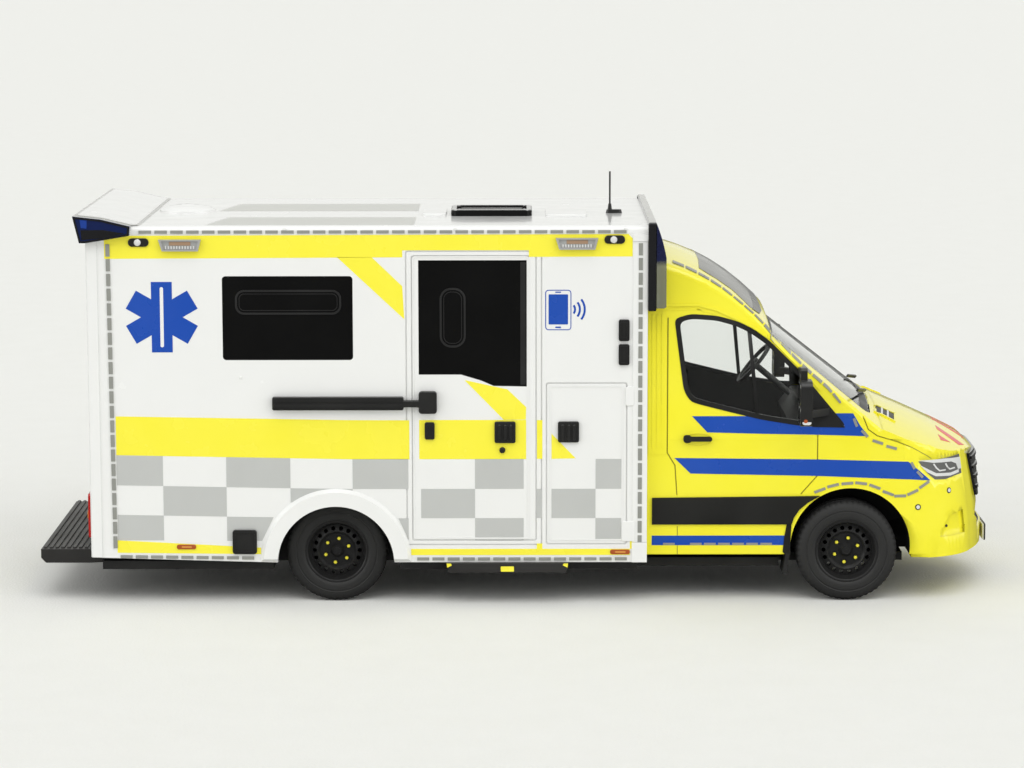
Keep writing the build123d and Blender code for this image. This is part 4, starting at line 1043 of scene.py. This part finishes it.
mirror_mesh, indicator_mesh, amber_mesh = bmesh.new(), bmesh.new(), bmesh.new()
for back in (right_mirror_back, left_mirror_back):
    slab(mirror_mesh, back, rounded(26.3, 34.1, 30.1, 37.6, 0.7), -0.1, 0.05, 0.02)
    slab(mirror_mesh, back, rounded(26.3, 31.0, 30.1, 33.6, 0.6), -0.1, 0.05, 0.02)
for outer in (right_mirror_side, left_mirror_side):
    slab(indicator_mesh, outer, rounded(76.85, 30.95, 78.4, 32.5, 0.45), -0.4, -0.05, 0.08)
    slab(amber_mesh, outer, rounded(77.1, 31.3, 77.75, 31.95, 0.3), -0.2, 0.0, 0.02)
make("mirror_glasses", mirror_mesh, mirror_glass)
make("mirror_indicators", indicator_mesh, lens_clear)
make("indicator_lamps", amber_mesh, marker_orange)

SCREEN_MID = (81.45, 38.85)
SCREEN_SLOPE = (-0.79, 0.613)
BORDER_OUT = [(-17.3, 10.7), (17.3, 10.7), (19.7, -10.6), (-19.7, -10.6)]
BORDER_IN = [(-16.6, 10.0), (16.6, 10.0), (18.7, -8.9), (-18.7, -8.9)]
screen_tree = skin_tree("windscreen")
border_mesh = bmesh.new()


def on_screen(y, up):
    """The windscreen's outer face at a place across it and up its slope."""
    middle = at(SCREEN_MID[0] + SCREEN_SLOPE[0] * up, y, SCREEN_MID[1] + SCREEN_SLOPE[1] * up)
    outward = Vector((SCREEN_SLOPE[1], 0, -SCREEN_SLOPE[0]))
    hit, normal, _, _ = screen_tree.ray_cast(middle + outward * 0.01, -outward)
    if hit is None:
        hit, normal, _, _ = screen_tree.find_nearest(middle + outward * 0.001)
    return hit, normal if normal.dot(outward) > 0 else -normal


for i in range(4):
    j = (i + 1) % 4
    laid(border_mesh, [BORDER_OUT[i], BORDER_OUT[j], BORDER_IN[j], BORDER_IN[i]], on_screen, 0.0, 0.03)
make("screen_border", border_mesh, frame_rubber)

# Printed livery on the box: yellow bands, a grey check below them and grey dashes round the edges.
# The prints stop at the door and locker gaps. A blue six-armed star with a plain white staff and a
# small blue telephone sign stand on the white.
INK = 0.03
OVER_TRIM = 0.2
print_yellow = finish("print_yellow", (0.95, 0.86, 0.045), (0.975, 0.89, 0.06), 0.4, (0.2, 0.32), 0.002,
                      Coat_Weight=0.3)
print_grey = finish("print_grey", (0.49, 0.50, 0.485), (0.54, 0.55, 0.535), 0.12, (0.3, 0.42), 0.004)
print_dash = finish("print_dash", (0.26, 0.265, 0.24), (0.31, 0.315, 0.29), 0.15, (0.3, 0.42), 0.004)
print_blue = finish("print_blue", (0.008, 0.066, 0.41), (0.012, 0.082, 0.47), 0.4, (0.2, 0.32), 0.002,
                    Coat_Weight=0.3)
YELLOW_PANELS = [
    [(-37.65, 57.9), (11.3, 58.1), (11.3, 59.24), (32.1, 59.24), (32.1, 58.15), (49.16, 58.2),
     (49.16, 61.18), (48.45, 61.9), (-37.65, 61.7)],
    [(0.58, 58.12), (6.28, 58.11), (11.27, 53.31), (11.58, 47.83)],
    [(-36.3, 31.69), (2.6, 31.02), (12.3, 30.99), (12.3, 24.44), (2.6, 24.46), (-36.3, 25.17)],
    [(13.93, 31.03), (31.64, 31.03), (31.64, 24.46), (13.93, 24.46)],
    [(33.42, 31.0), (34.33, 31.0), (34.33, 24.5), (33.42, 24.5)],
    [(-36.4, 10.81), (-12.5, 9.55), (-12.5, 8.44), (-36.4, 8.7)],
    [(12.49, 9.3), (48.9, 9.3), (48.9, 8.25), (12.49, 8.25)],
    [(33.4, 10.21), (34.33, 10.21), (34.33, 9.3), (33.4, 9.3)],
    [(48.9, 10.59), (49.7, 10.59), (49.7, 9.3), (48.9, 9.3)],
]
DOOR_DIAGONALS = [[(21.46, 37.7), (28.53, 36.15), (31.65, 33.17), (31.6, 31.1), (27.94, 31.06)],
                  [(35.85, 28.72), (39.85, 24.57), (35.85, 24.5)]]
LEFT_DIAGONAL = [[(11.58, 47.83), (11.27, 53.31), (31.65, 33.17), (31.6, 31.1), (27.94, 31.06)],
                 [(33.42, 31.2), (39.85, 24.57), (34.4, 24.5)]]
CHECK_COLUMNS = (-36.29, -28.61, -18.11, -7.49, 2.84, 12.09)
CHECK_ROWS_REAR = (25.17, 20.12, 15.12, 10.81)
CHECK_ROWS_FRONT = (24.48, 19.45, 14.51, 10.76)


def check_height(x, row):
    """Height of a line of the check, which drops slightly towards the front."""
    share = min(1.0, max(0.0, (x + 36.3) / 36.3))
    return CHECK_ROWS_REAR[row] + (CHECK_ROWS_FRONT[row] - CHECK_ROWS_REAR[row]) * share


CHECKS = [(CHECK_COLUMNS[c], CHECK_COLUMNS[c + 1], row)
          for row, c in ((0, 0), (0, 2), (0, 4), (1, 1), (1, 3))]
CHECKS += [(-36.29, -28.61, 2), (-18.11, -10.4, 2), (10.6, 12.1, 2), (23.15, 31.22, 0), (14.2, 23.15, 1),
           (23.15, 31.22, 2), (33.4, 34.3, 1), (43.15, 47.42, 0), (35.86, 43.15, 1), (43.15, 47.42, 2)]
grey_panels = []
for x0, x1, row in CHECKS:
    top = [(x0, check_height(x0, row)), (x1, check_height(x1, row))]
    foot = [(x0, check_height(x0, row + 1)), (x1, check_height(x1, row + 1))]
    panel = foot + top[::-1]
    if x0 == CHECK_COLUMNS[2] and row == 2:
        panel = [(-18.11, 10.7), (-12.3, 10.7), (-10.35, 14.7), (-18.11, 14.8)]
    if x0 == CHECK_COLUMNS[3] and row == 1:
        panel = [(x0, 17.2), (x1, 18.0)] + top[::-1]
    if x0 == 10.6:
        panel = [(12.1, 10.8), (12.1, 14.5), (10.4, 14.5)]
    grey_panels.append(panel)


def dash_row(x0, z0, x1, z1, pitch, long, wide):
    """Short dashes at an even pitch along a line."""
    run = math.hypot(x1 - x0, z1 - z0)
    along_x, along_z = (x1 - x0) / run, (z1 - z0) / run
    dashes = []
    for k in range(int(run / pitch) + 1):
        x, z = x0 + along_x * pitch * k, z0 + along_z * pitch * k
        corners = ((-long, -wide), (long, -wide), (long, wide), (-long, wide))
        dashes.append([(x + (a * along_x - b * along_z) / 2, z + (a * along_z + b * along_x) / 2)
                       for a, b in corners])
    return dashes


SIDE_DASH_LINES = ((-30.9, 62.3, 48.4, 62.3, 2.6, 2.05, 0.5), (-37.1, 59.3, -36.7, 10.0, 2.44, 2.0, 0.67),
                   (50.5, 59.4, 50.5, 10.4, 2.44, 2.0, 0.67), (-34.9, 8.05, -13.8, 7.8, 2.53, 2.0, 0.5),
                   (14.5, 7.62, 48.4, 7.62, 2.53, 2.0, 0.5))
side_dashes = [dash for line in SIDE_DASH_LINES for dash in dash_row(*line)]


def printed(name, ink, jobs):
    """Print flat outlines on sides of the body: a skin of ink a few hundredths thick."""
    mesh = bmesh.new()
    for side, outlines, lift in jobs:
        for outline in outlines:
            slab(mesh, side, outline, -0.02, lift)
    return make(name, mesh, ink)


REAR_BAND = ((-23.0, -19.9), (-19.0, -0.6), (0.6, 19.0), (19.9, 23.0))
rear_yellow = [box_of(y0, 24.5, y1, 31.2) for y0, y1 in REAR_BAND]
REAR_CHECKS = ((0.8, 6.8, 19.6, 24.5), (12.8, 18.6, 19.6, 24.5), (6.8, 12.8, 14.7, 19.6),
               (0.8, 6.8, 14.0, 14.7))
rear_checks = [box_of(hand * y0, z0, hand * y1, z1) for hand in (-1, 1) for y0, y1, z0, z1 in REAR_CHECKS]
rear_dashes = [dash for y in (-24.3, 24.3) for dash in dash_row(y, 59.3, y, 21.0, 2.44, 2.0, 0.67)]
printed("yellow_bands", print_yellow, [(right_side, YELLOW_PANELS + DOOR_DIAGONALS, INK),
                                       (left_side, YELLOW_PANELS + LEFT_DIAGONAL, INK),
                                       (rear_side, rear_yellow, INK)])
printed("grey_check", print_grey, [(right_side, grey_panels, INK), (left_side, grey_panels, INK),
                                   (rear_side, rear_checks, INK)])
printed("grey_dashes", print_dash, [(right_side, side_dashes, OVER_TRIM),
                                    (left_side, side_dashes, OVER_TRIM),
                                    (rear_side, rear_dashes, OVER_TRIM)])

STAR_AT = (-28.36, 48.22)
STAR_ARM = 5.85
STAR_HALF_WIDTH = 1.72
star = []
for arm in range(6):
    angle = math.radians(90 + 60 * arm)
    out_x, out_z = math.cos(angle), math.sin(angle)
    for sign in (1, -1):
        star.append((STAR_AT[0] + out_x * STAR_ARM + sign * out_z * STAR_HALF_WIDTH,
                     STAR_AT[1] + out_z * STAR_ARM - sign * out_x * STAR_HALF_WIDTH))
    notch = angle + math.radians(30)
    star.append((STAR_AT[0] + math.cos(notch) * 2 * STAR_HALF_WIDTH,
                 STAR_AT[1] + math.sin(notch) * 2 * STAR_HALF_WIDTH))
staff = [rounded(STAR_AT[0] - 0.28, STAR_AT[1] - 5.0, STAR_AT[0] + 0.28, STAR_AT[1] + 5.0, 0.27)]
phone_marks = [rounded(35.35, 46.95, 38.55, 51.95, 0.15), rounded(36.45, 46.35, 37.4, 46.6, 0.1),
               rounded(36.45, 52.2, 37.4, 52.4, 0.08)]
WAVE_AT = (38.6, 49.45)
arc = [math.radians(a) for a in range(-38, 39, 4)]
waves = []
for radius in (1.1, 1.9, 2.7):
    edges = [(radius + 0.17, angle) for angle in arc] + [(radius - 0.17, angle) for angle in reversed(arc)]
    waves.append([(WAVE_AT[0] + r * math.cos(angle), WAVE_AT[1] + r * math.sin(angle))
                  for r, angle in edges])
printed("blue_signs", print_blue, [(right_side, [star] + phone_marks + waves, INK),
                                   (left_side, [star], INK)])
printed("star_staffs", white_lacquer, [(right_side, staff, INK * 2), (left_side, staff, INK * 2)])
phone_edge = bmesh.new()
rim_round(phone_edge, right_side, rounded(34.8, 46.0, 39.1, 52.7, 0.55),
          rounded(34.94, 46.14, 38.96, 52.56, 0.42), -0.02, INK)
make("phone_outline", phone_edge, print_blue)

# Printed livery on the cab: blue stripes along the doors and wing and on the sill, grey dashes round
# the arch, at the stripes' ends and up the windscreen post, and red bars across the bonnet.
INK_ON_CAB = 0.045
BLUE_STRIPES = [
    [(59.2, 31.3), (68.4, 31.3), (70.9, 30.8), (77.2, 29.75), (84.6, 29.45), (82.8, 31.75), (85.95, 31.75),
     (87.2, 29.6), (88.6, 27.95), (80.4, 28.2), (69.8, 28.4), (61.75, 28.62)],
    [(56.3, 24.32), (80.3, 24.06), (95.2, 23.65), (97.2, 22.0), (99.1, 20.3), (95.8, 20.65), (80.3, 21.27),
     (59.0, 21.7)],
    [(52.6, 11.15), (75.3, 11.15), (74.6, 9.5), (52.6, 9.5)],
]
POST_LINE = [(56.07, 56.45), (58.0, 55.75), (60.1, 54.78), (62.1, 53.7), (64.1, 52.45), (66.0, 51.0),
             (67.6, 49.7), (69.5, 48.05), (71.3, 46.2), (73.1, 44.1), (75.0, 42.1), (76.9, 40.15),
             (78.6, 38.6), (79.9, 37.5), (81.3, 36.35), (82.75, 34.85), (83.95, 33.35)]
ARCH_DASHES = [(80.55, 18.83), (82.75, 19.64), (85.12, 19.99), (87.41, 20.02), (89.71, 19.44),
               (91.94, 18.35), (93.94, 17.88), (96.04, 18.45), (98.0, 19.66)]
END_DASHES = [[(86.06, 30.9), (86.6, 29.56)], [(87.37, 28.91), (88.37, 27.84)],
              [(89.21, 27.26), (90.94, 26.68)],
              [(91.51, 26.3), (93.24, 25.83)], [(95.7, 23.5), (96.3, 22.4)], [(96.74, 21.97), (97.7, 20.9)]]
BONNET_BARS = [[(101.6, -15.4), (101.5, -12.3), (103.4, -13.9)],
               [(101.8, -8.4), (101.9, -5.5), (106.1, -11.0), (105.0, -12.9)],
               [(102.2, 1.5), (102.3, 4.4), (107.2, -2.2), (106.9, -4.5)],
               [(102.3, 8.5), (102.2, 11.4), (107.0, 4.9), (107.2, 2.6)],
               [(102.0, 15.4), (101.8, 18.0), (105.6, 12.2), (106.2, 10.2)]]
print_red = finish("print_red", (0.72, 0.05, 0.05), (0.78, 0.075, 0.07), 0.3, (0.2, 0.32), 0.002)
blue_mesh, cab_dash_mesh, red_mesh = bmesh.new(), bmesh.new(), bmesh.new()


def dashes_along(points, pitch, long):
    """Even lengths of a line, each cut out as a short run of points."""
    runs = []
    total = sum(math.dist(a, b) for a, b in zip(points, points[1:]))
    for k in range(int((total - long) / pitch) + 1):
        runs.append([point_along(points, k * pitch + share * long) for share in (0.0, 0.5, 1.0)])
    return runs


def point_along(points, distance):
    """The place a distance along a line."""
    for a, b in zip(points, points[1:]):
        step = math.dist(a, b)
        if distance <= step:
            return a[0] + (b[0] - a[0]) * distance / step, a[1] + (b[1] - a[1]) * distance / step
        distance -= step
    return points[-1]


def dash_at(points, i, long):
    """A dash centred on one point of a line and lying along it."""
    before, after = points[max(i - 1, 0)], points[min(i + 1, len(points) - 1)]
    run = math.dist(before, after)
    half_x, half_z = (after[0] - before[0]) / run * long / 2, (after[1] - before[1]) / run * long / 2
    x, z = points[i]
    return [(x - half_x, z - half_z), (x, z), (x + half_x, z + half_z)]


for view in (from_right, from_left):
    for outline in BLUE_STRIPES:
        laid(blue_mesh, outline, view, -0.03, INK_ON_CAB)
    for run in dashes_along(POST_LINE, 2.3, 1.95):
        wide = 0.2 if run[0][1] > 46.5 else 0.36
        ribbon(cab_dash_mesh, run, wide, view, -0.05, 0.17, 0.3)
    for run in [dash_at(ARCH_DASHES, i, 1.95) for i in range(len(ARCH_DASHES))] + END_DASHES:
        ribbon(cab_dash_mesh, run, 0.45, view, -0.05, 0.1, 0.5)
    for x in [54.5] + [59.0 + 2.35 * k for k in range(6)]:
        ribbon(cab_dash_mesh, [(x, 9.7), (x + 1.95, 9.7)], 0.4, view, -0.03, INK_ON_CAB * 1.6)
for outline in BONNET_BARS:
    laid(red_mesh, outline, from_above, -0.03, INK_ON_CAB)
make("cab_stripes", blue_mesh, print_blue)
make("cab_dashes", cab_dash_mesh, print_dash)
make("bonnet_bars", red_mesh, print_red)

# Cab fairing: a smoked panel let into the slope over the windscreen, with a darker lip at its front.
# Both are thin mouldings glued into the yellow roof.
SMOKED_HALF = [(60.9, -7.3), (60.6, -15.0), (62.4, -16.0), (64.3, -16.6), (66.2, -17.2), (67.6, -18.4),
               (69.0, -19.7), (69.5, -18.0)]
LIP_HALF = [(69.7, -13.8), (69.5, -18.0), (69.2, -19.6), (70.6, -17.9), (71.2, -13.8)]
smoked = finish("smoked_panel", (0.09, 0.09, 0.08), (0.13, 0.13, 0.115), 0.5, (0.14, 0.24), 0.003)
lip_dark = finish("lip_dark", (0.012, 0.012, 0.011), (0.022, 0.022, 0.02), 0.3, (0.2, 0.3), 0.003)
smoked_mesh, lip_mesh = bmesh.new(), bmesh.new()
smoked_front = [(69.7, -13.8), (69.7, 13.8)]
smoked_left = [(x, -y) for x, y in reversed(SMOKED_HALF)]
lip_left = [(x, -y) for x, y in reversed(LIP_HALF)]
laid(smoked_mesh, SMOKED_HALF + smoked_front + smoked_left, from_above, -0.05, 0.07)
laid(lip_mesh, LIP_HALF + lip_left, from_above, -0.05, 0.09)
make("fairing_panel", smoked_mesh, smoked)
make("fairing_lip", lip_mesh, lip_dark)

# Side cladding: a black moulding along each door that sweeps up to the wheel arch, with a guard down
# the sill's front end.
SIDE_CLADDING = [(52.6, 13.1), (75.9, 13.1), (76.3, 14.3), (77.2, 15.6), (78.6, 16.8), (80.6, 17.9),
                 (52.6, 17.6)]
SILL_GUARD = [(75.9, 13.2), (75.1, 13.2), (74.7, 10.8), (74.5, 8.3), (75.3, 7.4), (75.85, 7.4), (75.75, 9.2),
              (75.8, 10.9)]
trim_black = finish("trim_black", (0.010, 0.010, 0.009), (0.018, 0.018, 0.016), 0.2, (0.4, 0.55), 0.01)
cladding_mesh, guard_mesh = bmesh.new(), bmesh.new()
for view in (from_right, from_left):
    laid(cladding_mesh, SIDE_CLADDING, view, -0.1, 0.3)
    laid(guard_mesh, SILL_GUARD, view, -0.1, 0.12)
cladding = make("side_cladding", cladding_mesh, trim_black)
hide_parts("side_trims")
make("sill_guards", guard_mesh, trim_black)

# Steps: a ribbed black tread across the back, and a black side step with yellow ends and a yellow tag.
# Both are moulded and pinned to the base plate's rails.
step_black = finish("step_black", (0.022, 0.021, 0.020), (0.034, 0.033, 0.031), 0.2, (0.45, 0.6), 0.012)
softened("rear_step", "rear_tread", step_black, 0.1)
softened("side_step", "side_tread", step_black, 0.12)
STEP_EDGE = 26.0


def step_face(x, z, out):
    return at(x, -STEP_EDGE - out, z)


tag_mesh = bmesh.new()
slab(tag_mesh, step_face, rounded(27.4, 5.62, 29.6, 6.5, 0.1), -0.02, 0.12, 0.03)
slab(tag_mesh, step_face, [(18.5, 6.3), (18.4, 7.0), (19.1, 7.0), (19.3, 6.7)], -0.02, 0.08)
slab(tag_mesh, step_face, [(38.5, 6.3), (38.6, 7.0), (37.9, 7.0), (37.7, 6.7)], -0.02, 0.08)
make("step_tags", tag_mesh, print_yellow)
